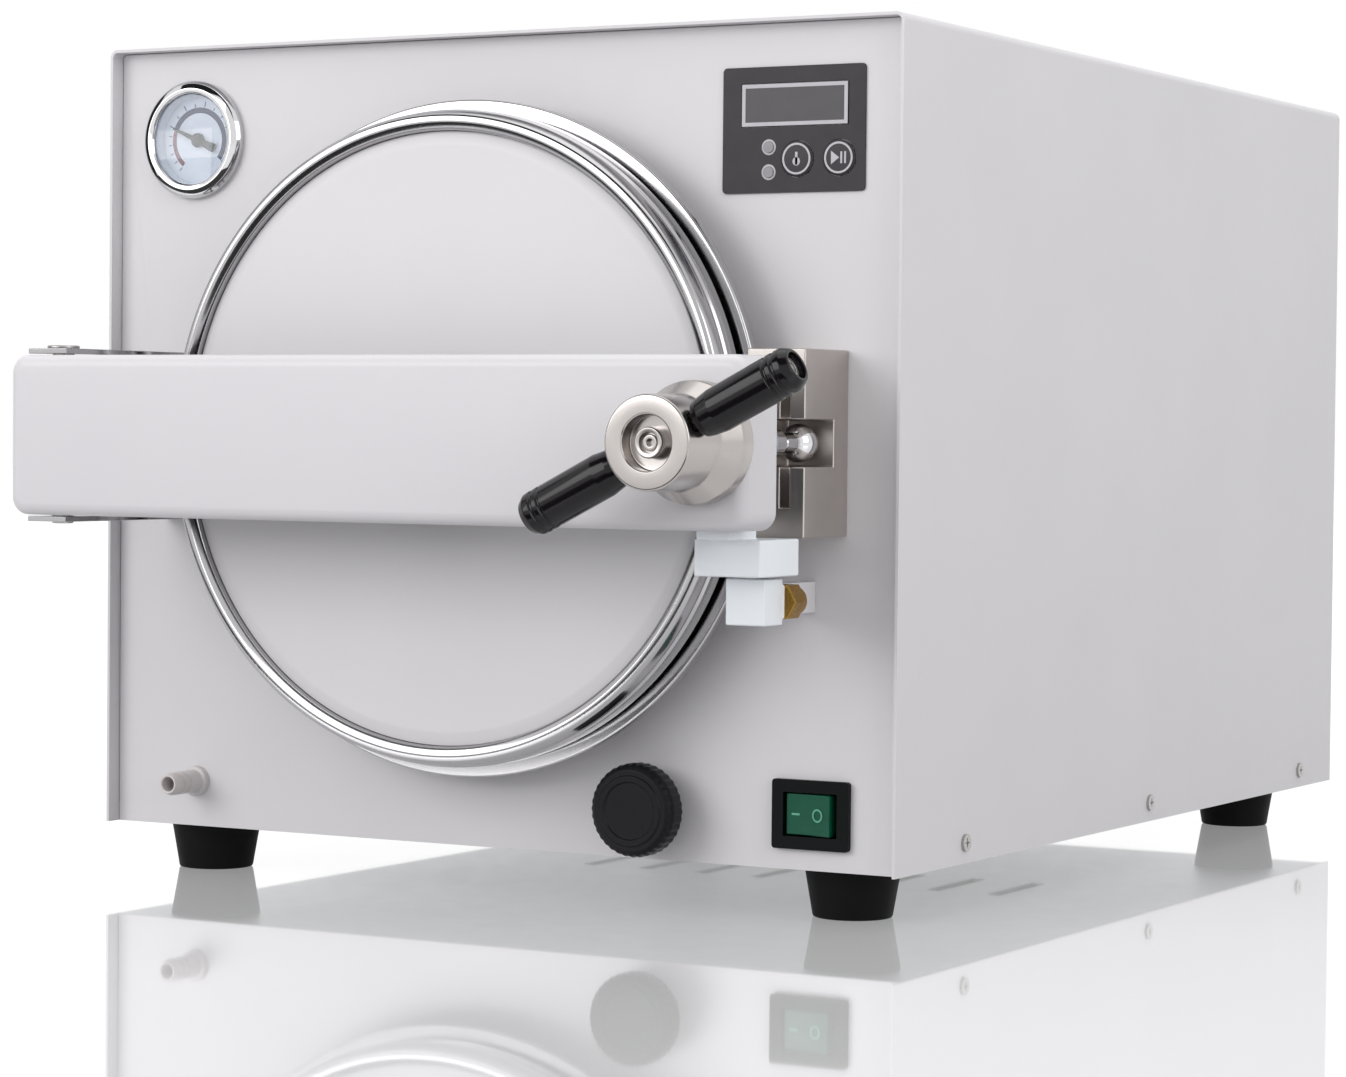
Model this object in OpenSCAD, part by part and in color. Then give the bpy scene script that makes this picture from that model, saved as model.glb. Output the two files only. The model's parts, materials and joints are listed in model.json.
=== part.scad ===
// Benchtop steam autoclave with a hinged round door, a beam and a T handle.
// Millimetres. The origin is the centre of the footprint, on the floor, and
// the door faces -Y. Inside cab() the coordinates are the cabinet's own:
// x from its centre line, y back from the cover's front edge, z up from its
// bottom edge.

/* [Cabinet] */
// Width over the painted cover
cab_w = 430; // [410:1:520]
// Depth of the painted cover
cab_d = 568; // [530:1:690]
// Height of the cover, without the feet
cab_h = 378; // [370:1:460]
// Sheet thickness of the cover
sheet = 1.5; // [1:0.1:2.5]
// Outside bend radius of the cover's top edges
bend_r = 4; // [3:0.5:8]
// How far the front panel sits behind the cover's edge
lip = 8; // [5:0.5:12]
// Thickness of the front and rear panels
panel_t = 2; // [1.5:0.1:3]
// Height of the rubber feet
foot_h = 23; // [18:1:30]
// Top diameter of a foot
foot_d = 44; // [36:1:50]
// Height of the side screws above the bottom edge
screw_z = 9.5; // [8:0.5:14]

/* [Chamber] */
// Inside diameter of the pressure chamber
chamber_d = 250; // [225:1:256]
// Inside length of the pressure chamber
chamber_len = 365; // [300:1:380]
// Wall of the pressure chamber
chamber_wall = 3; // [2:0.5:4]
// Height of the chamber's axis above the bottom edge
axis_z = 190; // [186:0.5:200]
// Thickness of the insulation round the chamber
jacket_t = 16; // [10:1:18]
// Height between two tray levels
tray_pitch = 46; // [38:1:52]

/* [Door] */
// Outside diameter of the polished door rim
rim_d = 300; // [294:1:304]
// Depth of the door rim from its front bead to its back edge
rim_depth = 18; // [15:0.5:22]
// Gap between the closed rim and the chamber flange
door_gap = 4; // [3:0.5:6]
// Outside diameter of the chamber flange
flange_d = 311; // [306:1:313]
// Thickness of the chamber flange
flange_t = 6; // [5:0.5:9]
// How far the flange face stands before the cover's front edge
flange_y = 16; // [14:0.5:20]
// Height of the beam's painted cover
beam_h = 74; // [66:1:84]
// How far the beam's front face stands before the cover's front edge
beam_y = 104; // [100:1:112]
// Depth of the beam's painted cover
beam_depth = 29; // [26:1:32]
// Distance of the hinge pin and of the clamp bolt from the centre line
pin_x = 175; // [170:1:182]
// Diameter of the hinge pin
pin_d = 10; // [8:0.5:12]

/* [Handle] */
// Diameter of the clamp bolt's thread
bolt_d = 12; // [10:0.5:14]
// Diameter of the polished ball on the clamp bolt
ball_d = 17; // [15:0.5:19]
// Front diameter of the T handle's hub
hub_d = 40; // [36:1:44]
// Length of the T handle's hub
hub_len = 45; // [40:1:48]
// Radius from the hub's axis to the ends of the grips
grip_reach = 70; // [60:1:74]
// Diameter of a grip
grip_d = 19; // [16:0.5:20]
// Angle of the grips above the horizontal
grip_angle = 27; // [0:1:60]

/* [Front controls] */
// Diameter of the pressure gauge's bezel
gauge_d = 57; // [50:1:62]
// Diameter of the steam valve's knob
knob_d = 42.5; // [34:0.5:44]
// Diameter of a push button
button_d = 16; // [12:0.5:18]

/* [Fits] */
// Radial clearance of a running shaft
run_clear = 0.06; // [0.03:0.01:0.1]
// Gap left between separate pieces that do not touch
loose = 0.3; // [0.2:0.05:0.4]

/* [Hidden] */
$fn = 72;

// Far past any surface, for cuts that go right through
past = 1;
// Y of the panel faces
panel_back = lip + panel_t;
rear_y = cab_d - lip;
// Half width and top of the space inside the cover
in_x = cab_w / 2 - sheet - loose;
in_z = cab_h - sheet - loose;
// Height of the base tray's side upstands, and of the panels' returns
upstand_h = 20;
return_depth = 12;
// Places of the side screws along the cover
screw_ys = [73, cab_d * 0.52, cab_d - 52];
// Feet
foot_x = cab_w / 2 - 39;
foot_ys = [38, cab_d - 48];
foot_d_low = foot_d - 8;
foot_screw_d = 5;
foot_recess_d = 13;
foot_recess_h = 10;

// Chamber: radii and Y places
chamber_r = chamber_d / 2;
vessel_r = chamber_r + chamber_wall;
flange_face = -flange_y;
flange_back = flange_face + flange_t;
vessel_front = flange_back - 2;
head_t = 6;
head_y = flange_face + chamber_len;
vessel_back = head_y + head_t;
heater_t = 4;
heater_y = 120;
heater_len = 110;
jacket_in = vessel_r + heater_t + 2 * loose;
jacket_r = jacket_in + jacket_t;
jacket_front = panel_back + 10;
jacket_back = vessel_back - 22;
cradle_ys = [70, 270];
cradle_t = 3;
cradle_half = 128;
tray_w = 164;
rack_x = tray_w / 2 + 6;
rack_t = 1.2;
rack_half_z = sqrt(pow(chamber_r - loose, 2) - pow(rack_x, 2));
rack_y = flange_face + 40;
rack_len = chamber_len - 70;
ledge_w = 11;
tray_t = 1;
tray_rim = 11;

// Gauge
gauge_x = -cab_w / 2 + 46;
gauge_z = cab_h - 44.5;
gauge_proud = 6;
gauge_front = lip - gauge_proud;
gauge_in = gauge_d - 11;
gauge_case_d = gauge_in + 4;
gauge_case_back = lip + 30;
dial_y = gauge_front + 9;
dial_t = 1;
spindle_d = 3;
needle_angle = 157;

// Control field
field_x = cab_w / 2 - 57.3;
field_z = cab_h - 49;
field_w = 71;
field_h = 56;
field_t = 1;
window_dz = 11;
window_w = 53;
window_h = 19;
led_dx = -12.2;
led_dzs = [-7.7, -18.8];
led_d = 6;
button_dz = -13.2;
button_dxs = [2.2, 23];
button_proud = 1.2;
button_travel = 0.8;
board_y = panel_back + 12;

// Steam valve and drain
valve_x = cab_w / 2 - 124.5;
valve_z = 24;
knob_len = 13;
knob_front = lip - 25;
valve_collar_d = 28;
valve_stem_d = 6;
drain_x = -cab_w / 2 + 49;
drain_z = 22;
drain_d = 11;
drain_bore = 7;
drain_len = 24;
drain_nose = 3;
pipe_d = 8;
port_r = chamber_r - 28;

// Rocker switch
switch_x = cab_w / 2 - 44.5;
switch_z = 25;
switch_w = 38;
switch_h = 31;
rocker_w = 26;
rocker_h = 19;
rocker_tilt = 9;
rocker_pivot = lip + 3.5;

// Door
rim_r = rim_d / 2;
rim_back = flange_face - door_gap;
rim_front = rim_back - rim_depth;
bead_r = 5;
disc_r = rim_r - 2 * bead_r;
disc_front = rim_front + 3.5;
disc_t = 3;
inner_plate_t = 4;
seal_in = chamber_r + 2;
seal_out = chamber_r + 15;
seal_groove = 3;
beam_front = -beam_y;
beam_back = beam_front + beam_depth;
cover_left = pin_x + 18;
cover_right = pin_x + 19;
cover_t = 2;
cover_r = 8;
pin_y = beam_front + 18;
barrel_d = pin_d + 12;
bar_front = beam_front + 6;
bar_t = 18;
bar_half = 24;
ear_t = 2.5;
ear_z = beam_h / 2 + 0.6;
stud_d = 26;

// Clamp bolt, hub and latch
bolt_x = pin_x - 1;
collar_d = 22;
collar_front = beam_front - 0.5;
washer_t = 1.6;
hub_back = collar_front - washer_t - loose;
hub_front = hub_back - hub_len;
hub_base_d = hub_d + 12;
grip_y = hub_front + 12;
grip_start = hub_d / 2 + 1;
stud_rod_d = 8;
ball_y = flange_face - 0.5;
bracket_l = flange_d / 2 + 2;
bracket_r = bolt_x + 12;
bracket_front = flange_face - 18;
bracket_half = 41;
notch_half = ball_d / 2 + 1.8;

// Interlock
lock_x = bolt_x - 4;
lock_gap = 1.2;
striker_top = -beam_h / 2 - 4;
striker_h = 16;
striker_w = 32;
guide_top = striker_top - striker_h - lock_gap;
guide_h = 20;
guide_w = 19;
guide_depth = 17;
plug_d = 17;
lock_pin_d = 6;
lock_y = -52;
guide_front = lock_y - 8;
lock_travel = 5;
lock_side = 1;

// Rear: mains inlet, safety valve and vent slots
inlet_x = -120;
inlet_z = 60;
inlet_w = 27;
inlet_h = 47;
safety_x = 60;
safety_z = axis_z + 70;
vent_rows = 7;
vent_columns = 2;
vent_first_x = -130;
vent_first_z = 235;
vent_step_x = 85;
vent_step_z = 14;
vent_w = 70;
vent_h = 5;

// The whole object's limits, so that its box is centred on the origin
screw_head_h = 1.4;
safety_proud = 48;
object_front = hub_front;
object_back = rear_y + safety_proud;
object_left = -cab_w / 2 - screw_head_h;
object_right = bolt_x + grip_reach * cos(grip_angle) + (grip_d - 3) / 2 * sin(grip_angle);
shift_x = -(object_left + object_right) / 2;
shift_y = -(object_front + object_back) / 2;

// ---------- helpers ----------

// The cabinet's own frame
module cab() {
  translate([shift_x, shift_y, foot_h]) children();
}

// Children in the door and chamber frame: Z is the chamber's axis height
module on_axis() {
  translate([0, 0, axis_z]) children();
}

// A flat shape drawn in X and Z, from y to y + t
module wall_y(y, t) {
  translate([0, y + t, 0]) rotate([90, 0, 0]) linear_extrude(t) children();
}

// A rod along +Y
module rod_y(x, y, z, d, len) {
  translate([x, y, z]) rotate([-90, 0, 0]) cylinder(d = d, h = len);
}

// A tube along +Y
module tube_y(x, y, z, d, bore, len) {
  difference() {
    rod_y(x, y, z, d, len);
    rod_y(x, y - past, z, bore, len + 2 * past);
  }
}

// A solid turned about the Y axis from a profile of radius and -y
module turned_y() {
  rotate([90, 0, 0]) rotate_extrude($fn = 144) children();
}

// A rectangle with round corners, centred
module round_rect(w, h, r) {
  square([w - 2 * r, h], center = true);
  square([w, h - 2 * r], center = true);
  for (sx = [-1, 1], sz = [-1, 1])
    translate([sx * (w / 2 - r), sz * (h / 2 - r)]) circle(r = r);
}

// A straight piece of pipe from a to b, where both lie on a line along one axis
module pipe_leg(a, b, d) {
  v = b - a;
  turn = v[0] != 0 ? [0, 90 * sign(v[0]), 0]
    : v[1] != 0 ? [-90 * sign(v[1]), 0, 0]
    : [v[2] < 0 ? 180 : 0, 0, 0];
  translate(a) rotate(turn) cylinder(d = d, h = norm(v));
}

// A pipe through points, with a ball elbow at each turn
module pipe_run(points, d) {
  for (i = [0 : len(points) - 2])
    pipe_leg(points[i], points[i + 1], d);
  for (i = [1 : len(points) - 2])
    translate(points[i]) sphere(d = d * 1.3);
}

// ---------- cabinet ----------

// Outline of the cover, seen from the front, shrunk by inset
module cover_outline(inset) {
  half = cab_w / 2 - inset;
  top = cab_h - inset;
  r = max(bend_r - inset, 0.4);
  translate([-half, 0]) square([2 * half, top - r]);
  translate([-half + r, 0]) square([2 * (half - r), top]);
  for (s = [-1, 1])
    translate([s * (half - r), top - r]) circle(r = r);
}

module cover_shell() {
  color("gainsboro") cab() difference() {
    wall_y(0, cab_d) difference() {
      cover_outline(0);
      cover_outline(sheet);
      translate([-cab_w / 2 + sheet, -past]) square([cab_w - 2 * sheet, 10]);
    }
    for (y = screw_ys)
      translate([-cab_w, y, screw_z]) rotate([0, 90, 0])
        cylinder(d = 4.4, h = 2 * cab_w, $fn = 24);
  }
}

// A pan-shaped panel: a face with returns on its top and sides
module panel_pan(y, direction) {
  back = direction > 0 ? y + panel_t : y - return_depth;
  wall_y(y, panel_t) cover_outline(sheet + loose);
  wall_y(back, return_depth) difference() {
    cover_outline(sheet + loose);
    cover_outline(2 * sheet + loose);
    translate([-cab_w / 2, -past]) square([cab_w, upstand_h + 4 + past]);
  }
}

module front_panel() {
  color("gainsboro") cab() difference() {
    panel_pan(lip, 1);
    rod_y(0, lip - past, axis_z, 2 * vessel_r + 2 * loose, 3 * panel_t);
    rod_y(gauge_x, lip - past, gauge_z, gauge_case_d + 2 * loose, 3 * panel_t);
    for (dx = button_dxs)
      rod_y(field_x + dx, lip - past, field_z + button_dz, 6, 3 * panel_t);
    rod_y(valve_x, lip - past, valve_z, valve_stem_d + 2, 3 * panel_t);
    rod_y(drain_x, lip - past, drain_z, drain_d - 1 + loose, 3 * panel_t);
    translate([switch_x, 0, switch_z]) wall_y(lip - past, 3 * panel_t)
      square([switch_w - 5, switch_h - 5], center = true);
  }
}

module rear_panel() {
  color("gainsboro") cab() difference() {
    panel_pan(rear_y - panel_t, -1);
    for (c = [0 : vent_columns - 1], r = [0 : vent_rows - 1])
      translate([vent_first_x + c * vent_step_x, 0, vent_first_z + r * vent_step_z])
        wall_y(rear_y - 3 * panel_t, 6 * panel_t) round_rect(vent_w, vent_h, 2.4, $fn = 24);
    translate([inlet_x, 0, inlet_z]) wall_y(rear_y - 3 * panel_t, 6 * panel_t)
      square([inlet_w + 2 * loose, inlet_h + 2 * loose], center = true);
    rod_y(safety_x, rear_y - 3 * panel_t, safety_z, 14, 6 * panel_t);
    for (sx = [-1, 1], z = [40, in_z - 40])
      rod_y(sx * (in_x - 14), rear_y - 3 * panel_t, z, 4.4, 6 * panel_t, $fn = 24);
  }
}

module base_tray() {
  tray_len = rear_y - panel_t - panel_back;
  color("silver") cab() difference() {
    translate([-in_x, panel_back, 0]) cube([2 * in_x, tray_len, upstand_h]);
    translate([-in_x + sheet, panel_back - past, sheet])
      cube([2 * (in_x - sheet), tray_len + 2 * past, upstand_h]);
    for (y = screw_ys)
      translate([-cab_w, y, screw_z]) rotate([0, 90, 0])
        cylinder(d = 4.2, h = 2 * cab_w, $fn = 24);
    for (sx = [-1, 1], y = foot_ys)
      translate([sx * foot_x, y, -past]) cylinder(d = foot_screw_d + 0.4, h = 6, $fn = 24);
    for (i = [0 : 7])
      translate([-130 + i * 35, cab_d * 0.56, -past]) cube([8, 60, 6]);
  }
}

module rubber_feet() {
  color("black") cab() for (sx = [-1, 1], y = foot_ys)
    translate([sx * foot_x, y, -foot_h]) difference() {
      cylinder(d1 = foot_d_low, d2 = foot_d, h = foot_h);
      translate([0, 0, -past]) cylinder(d = foot_screw_d + 0.4, h = foot_h + 2 * past, $fn = 24);
      translate([0, 0, -past]) cylinder(d = foot_recess_d, h = foot_recess_h + past);
    }
}

module foot_screws() {
  color("silver") cab() for (sx = [-1, 1], y = foot_ys)
    translate([sx * foot_x, y, -foot_h + foot_recess_h]) {
      translate([0, 0, -3]) cylinder(d = 10, h = 3);
      cylinder(d = foot_screw_d, h = foot_h - foot_recess_h + 7, $fn = 24);
      translate([0, 0, foot_h - foot_recess_h + sheet]) cylinder(d = 9, h = 4, $fn = 6);
    }
}

module case_screws() {
  color("silver") cab() {
    for (s = [-1, 1], y = screw_ys)
      translate([s * cab_w / 2, y, screw_z]) rotate([0, s * 90, 0]) difference() {
        union() {
          cylinder(d = 8, h = screw_head_h);
          translate([0, 0, -9]) cylinder(d = 3.6, h = 9 + screw_head_h / 2, $fn = 24);
        }
        for (a = [0, 90])
          rotate(a) translate([-2, -0.4, 0.6]) cube([4, 0.8, screw_head_h]);
      }
    for (sx = [-1, 1], z = [40, in_z - 40])
      translate([sx * (in_x - 14), rear_y, z]) rotate([-90, 0, 0]) {
        cylinder(d = 8, h = 2);
        translate([0, 0, -8]) cylinder(d = 3.6, h = 9, $fn = 24);
      }
  }
}

// ---------- chamber ----------

module chamber_vessel() {
  color("silver") cab() on_axis() difference() {
    rod_y(0, vessel_front, 0, 2 * vessel_r, vessel_back - vessel_front, $fn = 144);
    rod_y(0, vessel_front - past, 0, chamber_d, head_y - vessel_front + past, $fn = 144);
    for (s = [-1, 1])
      rod_y(s * port_r * 0.7, head_y - past, -port_r * 0.7, pipe_d + loose, 3 * head_t);
    rod_y(safety_x, head_y - past, safety_z - axis_z, pipe_d + loose, 3 * head_t);
    rod_y(0, head_y - past, port_r, 6 + loose, 3 * head_t);
    rod_y(-safety_x, head_y - past, safety_z - axis_z, spindle_d + loose, 3 * head_t);
  }
}

module chamber_flange() {
  color("lightgray") cab() on_axis() difference() {
    union() {
      rod_y(0, flange_face, 0, flange_d, flange_t, $fn = 144);
      rod_y(0, flange_back, 0, 2 * vessel_r + 20, lip - flange_back, $fn = 144);
    }
    rod_y(0, flange_face - past, 0, chamber_d, flange_t * 3, $fn = 144);
    rod_y(0, vessel_front, 0, 2 * vessel_r + 2 * loose, 60, $fn = 144);
  }
}

module insulation_jacket() {
  color("whitesmoke") cab() on_axis()
    tube_y(0, jacket_front, 0, 2 * jacket_r, 2 * jacket_in, jacket_back - jacket_front, $fn = 144);
}

module heater_band() {
  color("dimgray") cab() on_axis()
    tube_y(0, heater_y, 0, 2 * (vessel_r + loose + heater_t), 2 * (vessel_r + loose),
      heater_len, $fn = 144);
}

module vessel_cradles() {
  color("silver") cab() for (y = cradle_ys) difference() {
    union() {
      wall_y(y, cradle_t) translate([-cradle_half, sheet])
        square([2 * cradle_half, axis_z * 0.52]);
      translate([-cradle_half, y, sheet]) cube([2 * cradle_half, 16, cradle_t]);
    }
    rod_y(0, y - past, axis_z, 2 * (jacket_r + loose), 40, $fn = 144);
    rod_y(valve_x, y - past, valve_z, pipe_d * 1.5, 40);
  }
}

module tray_rack() {
  color("silver") cab() on_axis() {
    for (s = [-1, 1]) {
      translate([s > 0 ? rack_x - rack_t : -rack_x, rack_y, -rack_half_z])
        cube([rack_t, rack_len, 2 * rack_half_z]);
      for (i = [-1 : 1])
        translate([s > 0 ? rack_x - ledge_w : -rack_x, rack_y, i * tray_pitch - tray_t])
          cube([ledge_w, rack_len, tray_t]);
    }
    for (z = [-1, 1])
      translate([-rack_x, rack_y + rack_len - 8, z * (rack_half_z - 8) - 2])
        cube([2 * rack_x, 6, 4]);
  }
}

module tray(level) {
  holes_x = 5;
  holes_y = 8;
  length = rack_len - 16;
  hole_pitch = 28;
  color("lightgray") cab() on_axis() translate([0, rack_y + 2, level * tray_pitch]) difference() {
    translate([-tray_w / 2, 0, 0]) cube([tray_w, length, tray_rim]);
    translate([-tray_w / 2 + tray_t, tray_t, tray_t])
      cube([tray_w - 2 * tray_t, length - 2 * tray_t, tray_rim]);
    for (i = [0 : holes_x - 1], j = [0 : holes_y - 1])
      translate([(i - (holes_x - 1) / 2) * hole_pitch,
        length / 2 + (j - (holes_y - 1) / 2) * hole_pitch, -past])
        cylinder(d = 6, h = 4, $fn = 20);
  }
}

module temperature_probe() {
  color("silver") cab() on_axis() {
    rod_y(0, head_y - 24, port_r, 6, 24 + head_t);
    rod_y(0, vessel_back, port_r, 12, 8);
    rod_y(0, vessel_back + 8, port_r, 5, 14);
  }
}

module steam_pipe() {
  low = axis_z - port_r * 0.7;
  start = [port_r * 0.7, head_y - 6, low];
  side_x = valve_x;
  turn_y = vessel_back + 24;
  color("chocolate") cab() pipe_run([start, [start[0], turn_y, low], [side_x, turn_y, low],
    [side_x, turn_y, valve_z], [side_x, panel_back + 42, valve_z]], pipe_d);
}

module valve_body() {
  color("goldenrod") cab() translate([valve_x, panel_back, valve_z]) difference() {
    union() {
      rotate([-90, 0, 0]) cylinder(d = 22, h = 4);
      translate([-10, 4, -10]) cube([20, 32, 20]);
      rotate([-90, 0, 0]) cylinder(d = 17, h = 42);
    }
    translate([0, -past, 0]) rotate([-90, 0, 0])
      cylinder(d = valve_stem_d + 2 * run_clear, h = 26 + past);
  }
}

module valve_knob() {
  color("black") cab() translate([valve_x, 0, valve_z]) {
    difference() {
      translate([0, knob_front + knob_len, 0]) rotate([90, 0, 0])
        cylinder(d1 = knob_d, d2 = knob_d - 3, h = knob_len);
      tube_y(0, knob_front - past, 0, knob_d - 10, knob_d - 14, 2);
    }
    rod_y(0, knob_front + knob_len, 0, valve_collar_d, lip - knob_front - knob_len - loose);
    rod_y(0, lip - 2 * loose, 0, valve_stem_d, panel_back + 24 - lip);
  }
}

module drain_spigot() {
  color("white") cab() translate([drain_x, 0, drain_z]) difference() {
    union() {
      rod_y(0, lip - 3, 0, drain_d + 4, 3);
      translate([0, lip - drain_len + drain_nose, 0]) rotate([90, 0, 0])
        cylinder(d1 = drain_d, d2 = drain_d - 2, h = drain_nose);
      rod_y(0, lip - drain_len + drain_nose, 0, drain_d, drain_len - drain_nose);
      rod_y(0, lip, 0, drain_d - 1, 14);
    }
    rod_y(0, lip - drain_len - past, 0, drain_bore, drain_len + 20);
  }
}

module drain_pipe() {
  low = axis_z - port_r * 0.7;
  start_x = -port_r * 0.7;
  turn_y = vessel_back + 24;
  color("tan") cab() pipe_run([[start_x, head_y - 6, low], [start_x, turn_y, low],
    [drain_x, turn_y, low], [drain_x, turn_y, drain_z], [drain_x, lip + 14, drain_z]], pipe_d);
}

module safety_valve() {
  color("goldenrod") cab() translate([safety_x, 0, safety_z]) difference() {
    union() {
      rod_y(0, head_y - 6, 0, pipe_d, rear_y + 3 - head_y);
      rod_y(0, rear_y - 8, 0, 13, 8);
      rod_y(0, rear_y, 0, 24, 6);
      translate([0, rear_y + 6, 0]) rotate([-90, 0, 0]) cylinder(d = 23, h = 10, $fn = 6);
      rod_y(0, rear_y + 16, 0, 18, 6);
    }
    rod_y(0, rear_y + 12, 0, 5 + 2 * run_clear, 30);
  }
}

module safety_pull() {
  ring_d = 24;
  color("silver") cab() translate([safety_x, 0, safety_z]) {
    rod_y(0, rear_y + 14, 0, 5, 12.5);
    translate([0, object_back - ring_d / 2, 0]) rotate([0, 90, 0]) difference() {
      translate([0, 0, -1.5]) cylinder(d = ring_d, h = 3);
      translate([0, 0, -past - 2]) cylinder(d = ring_d - 7, h = 8);
    }
  }
}

// ---------- gauge ----------

module gauge_case() {
  color("dimgray") cab() translate([gauge_x, 0, gauge_z]) {
    difference() {
      rod_y(0, gauge_front + 4, 0, gauge_case_d, gauge_case_back - gauge_front - 4);
      rod_y(0, gauge_front, 0, gauge_in, dial_y + dial_t - gauge_front);
      rod_y(0, gauge_front, 0, 12, 24);
    }
    rod_y(0, gauge_case_back, 0, 10, 9);
  }
}

module gauge_bezel() {
  color("silver") cab() translate([gauge_x, 0, gauge_z]) difference() {
    union() {
      translate([0, lip, 0]) rotate([90, 0, 0]) cylinder(d1 = gauge_d, d2 = gauge_d - 2, h = gauge_proud - 1);
      translate([0, gauge_front + 1, 0]) rotate([90, 0, 0])
        cylinder(d1 = gauge_d - 2, d2 = gauge_d - 5, h = 1);
    }
    rod_y(0, gauge_front + 4, 0, gauge_case_d + 2 * loose, 20);
    translate([0, gauge_front - 0.01, 0]) rotate([-90, 0, 0])
      cylinder(d1 = gauge_in - 1, d2 = gauge_in - 3, h = 2.01);
    rod_y(0, gauge_front + 2, 0, gauge_in, 20);
  }
}

module gauge_dial() {
  color("lavender") cab() translate([gauge_x, 0, gauge_z])
    tube_y(0, dial_y, 0, gauge_in - 2 * loose, spindle_d + 1, dial_t);
}

// The needle points at rest along the pointing angle, from the right side up
module gauge_needle() {
  tip = gauge_in / 2 - 5;
  color("black") cab() translate([gauge_x, dial_y - 2.6, gauge_z]) {
    rod_y(0, 0, 0, 7, 1.8);
    rod_y(0, 1.8, 0, spindle_d, 14);
    rotate([0, -needle_angle, 0]) wall_y(0.4, 0.8)
      polygon([[-10, -1.6], [-10, 1.6], [0, 1.3], [tip, 0.3], [tip, -0.3], [0, -1.3]]);
  }
}

module gauge_lens() {
  color("azure", 0.4) cab() rod_y(gauge_x, gauge_front + 2, gauge_z, gauge_in - 2 * loose, 1.5);
}

module gauge_line() {
  run_y = vessel_back + 12;
  color("chocolate") cab() pipe_run([[gauge_x, gauge_case_back + 9, gauge_z], [gauge_x, run_y, gauge_z],
    [-safety_x, run_y, gauge_z], [-safety_x, run_y, safety_z], [-safety_x, head_y - 4, safety_z]],
    spindle_d);
}

// ---------- controls ----------

module control_bezel() {
  color("dimgray") cab() translate([field_x, 0, field_z]) wall_y(lip - field_t, field_t) difference() {
    round_rect(field_w, field_h, 2);
    translate([0.6, window_dz]) square([window_w + 2 * loose, window_h + 2 * loose], center = true);
    for (dz = led_dzs)
      translate([led_dx, dz]) circle(d = led_d + 2 * loose);
    for (dx = button_dxs)
      translate([dx, button_dz]) circle(d = button_d + 2 * loose);
  }
}

module display_window() {
  color("#3a363b") cab() translate([field_x + 0.6, 0, field_z + window_dz])
    wall_y(lip - field_t - 0.3, field_t + 0.3) square([window_w, window_h], center = true);
}

module status_leds() {
  color("#c9c6cc") cab() for (dz = led_dzs)
    translate([field_x + led_dx, lip, field_z + dz]) rotate([90, 0, 0])
      cylinder(d1 = led_d, d2 = led_d - 1, h = field_t + 0.8);
}

module button(index) {
  color("dimgray") cab() translate([field_x + button_dxs[index], 0, field_z + button_dz]) {
    rod_y(0, lip - field_t - button_proud, 0, button_d, field_t + button_proud - button_travel - 0.2);
    rod_y(0, lip - 1.1, 0, 4, board_y - lip + 1.5);
  }
}

module control_board() {
  color("darkgreen") cab() translate([field_x, 0, field_z]) {
    translate([-34, board_y + button_travel + 0.6, -26]) cube([68, 1.6, 52]);
    for (sx = [-1, 1], sz = [-1, 1])
      rod_y(sx * 30, panel_back, sz * 22, 6, board_y + button_travel + 0.6 - panel_back, $fn = 6);
    translate([-26, board_y + button_travel + 2.2, -14]) cube([20, 15, 16]);
    translate([4, board_y + button_travel + 2.2, -14]) cube([20, 15, 16]);
    translate([-12, board_y + button_travel + 2.2, 8]) cube([26, 4, 9]);
  }
}

module rocker_housing() {
  body_len = 26;
  color("#0a0f10") cab() translate([switch_x, 0, switch_z]) difference() {
    union() {
      wall_y(lip - 3, 3) round_rect(switch_w, switch_h, 1.5, $fn = 24);
      wall_y(lip, body_len) square([switch_w - 5 - loose, switch_h - 5 - loose], center = true);
    }
    wall_y(lip - 3 - past, 14) square([rocker_w + 2 * loose, rocker_h + 2 * loose], center = true);
    rocker_hub(past, 2 * run_clear);
  }
}

// The rocker's two trunnions, on a vertical axis
module rocker_hub(extra, clear) {
  translate([0, rocker_pivot, -rocker_h / 2 - 2 - extra * 0.2])
    cylinder(d = 4 + clear, h = rocker_h + 4 + extra * 0.4, $fn = 32);
}

module rocker() {
  half = rocker_w / 2 - 1.2;
  deep = 5;
  color("#0f4f3c") cab() translate([switch_x, 0, switch_z]) {
    translate([0, rocker_pivot, 0]) rotate([0, 0, -rocker_tilt]) translate([0, -rocker_pivot, 0])
      translate([0, 0, -rocker_h / 2 + loose]) linear_extrude(rocker_h - 2 * loose)
        polygon([[-half, lip - 3], [0, lip - 1.6], [half, lip - 3], [half - 1.5, rocker_pivot + deep - 3],
          [0, rocker_pivot + deep], [-half + 1.5, rocker_pivot + deep - 3]]);
    rocker_hub(0, 0);
  }
}

// ---------- door ----------

module door_disc() {
  color("gainsboro") cab() on_axis()
    tube_y(0, disc_front, 0, 2 * (disc_r - 0.1), stud_d - 8, disc_t, $fn = 144);
}

// Polished bead with a skirt that runs back to the flange
module door_rim() {
  color("silver") cab() on_axis() turned_y() {
    translate([rim_r - bead_r, -(rim_front + bead_r)]) circle(r = bead_r, $fn = 48);
    translate([rim_r - bead_r, -rim_back]) square([bead_r - 0.4, rim_depth - bead_r]);
  }
}

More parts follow.
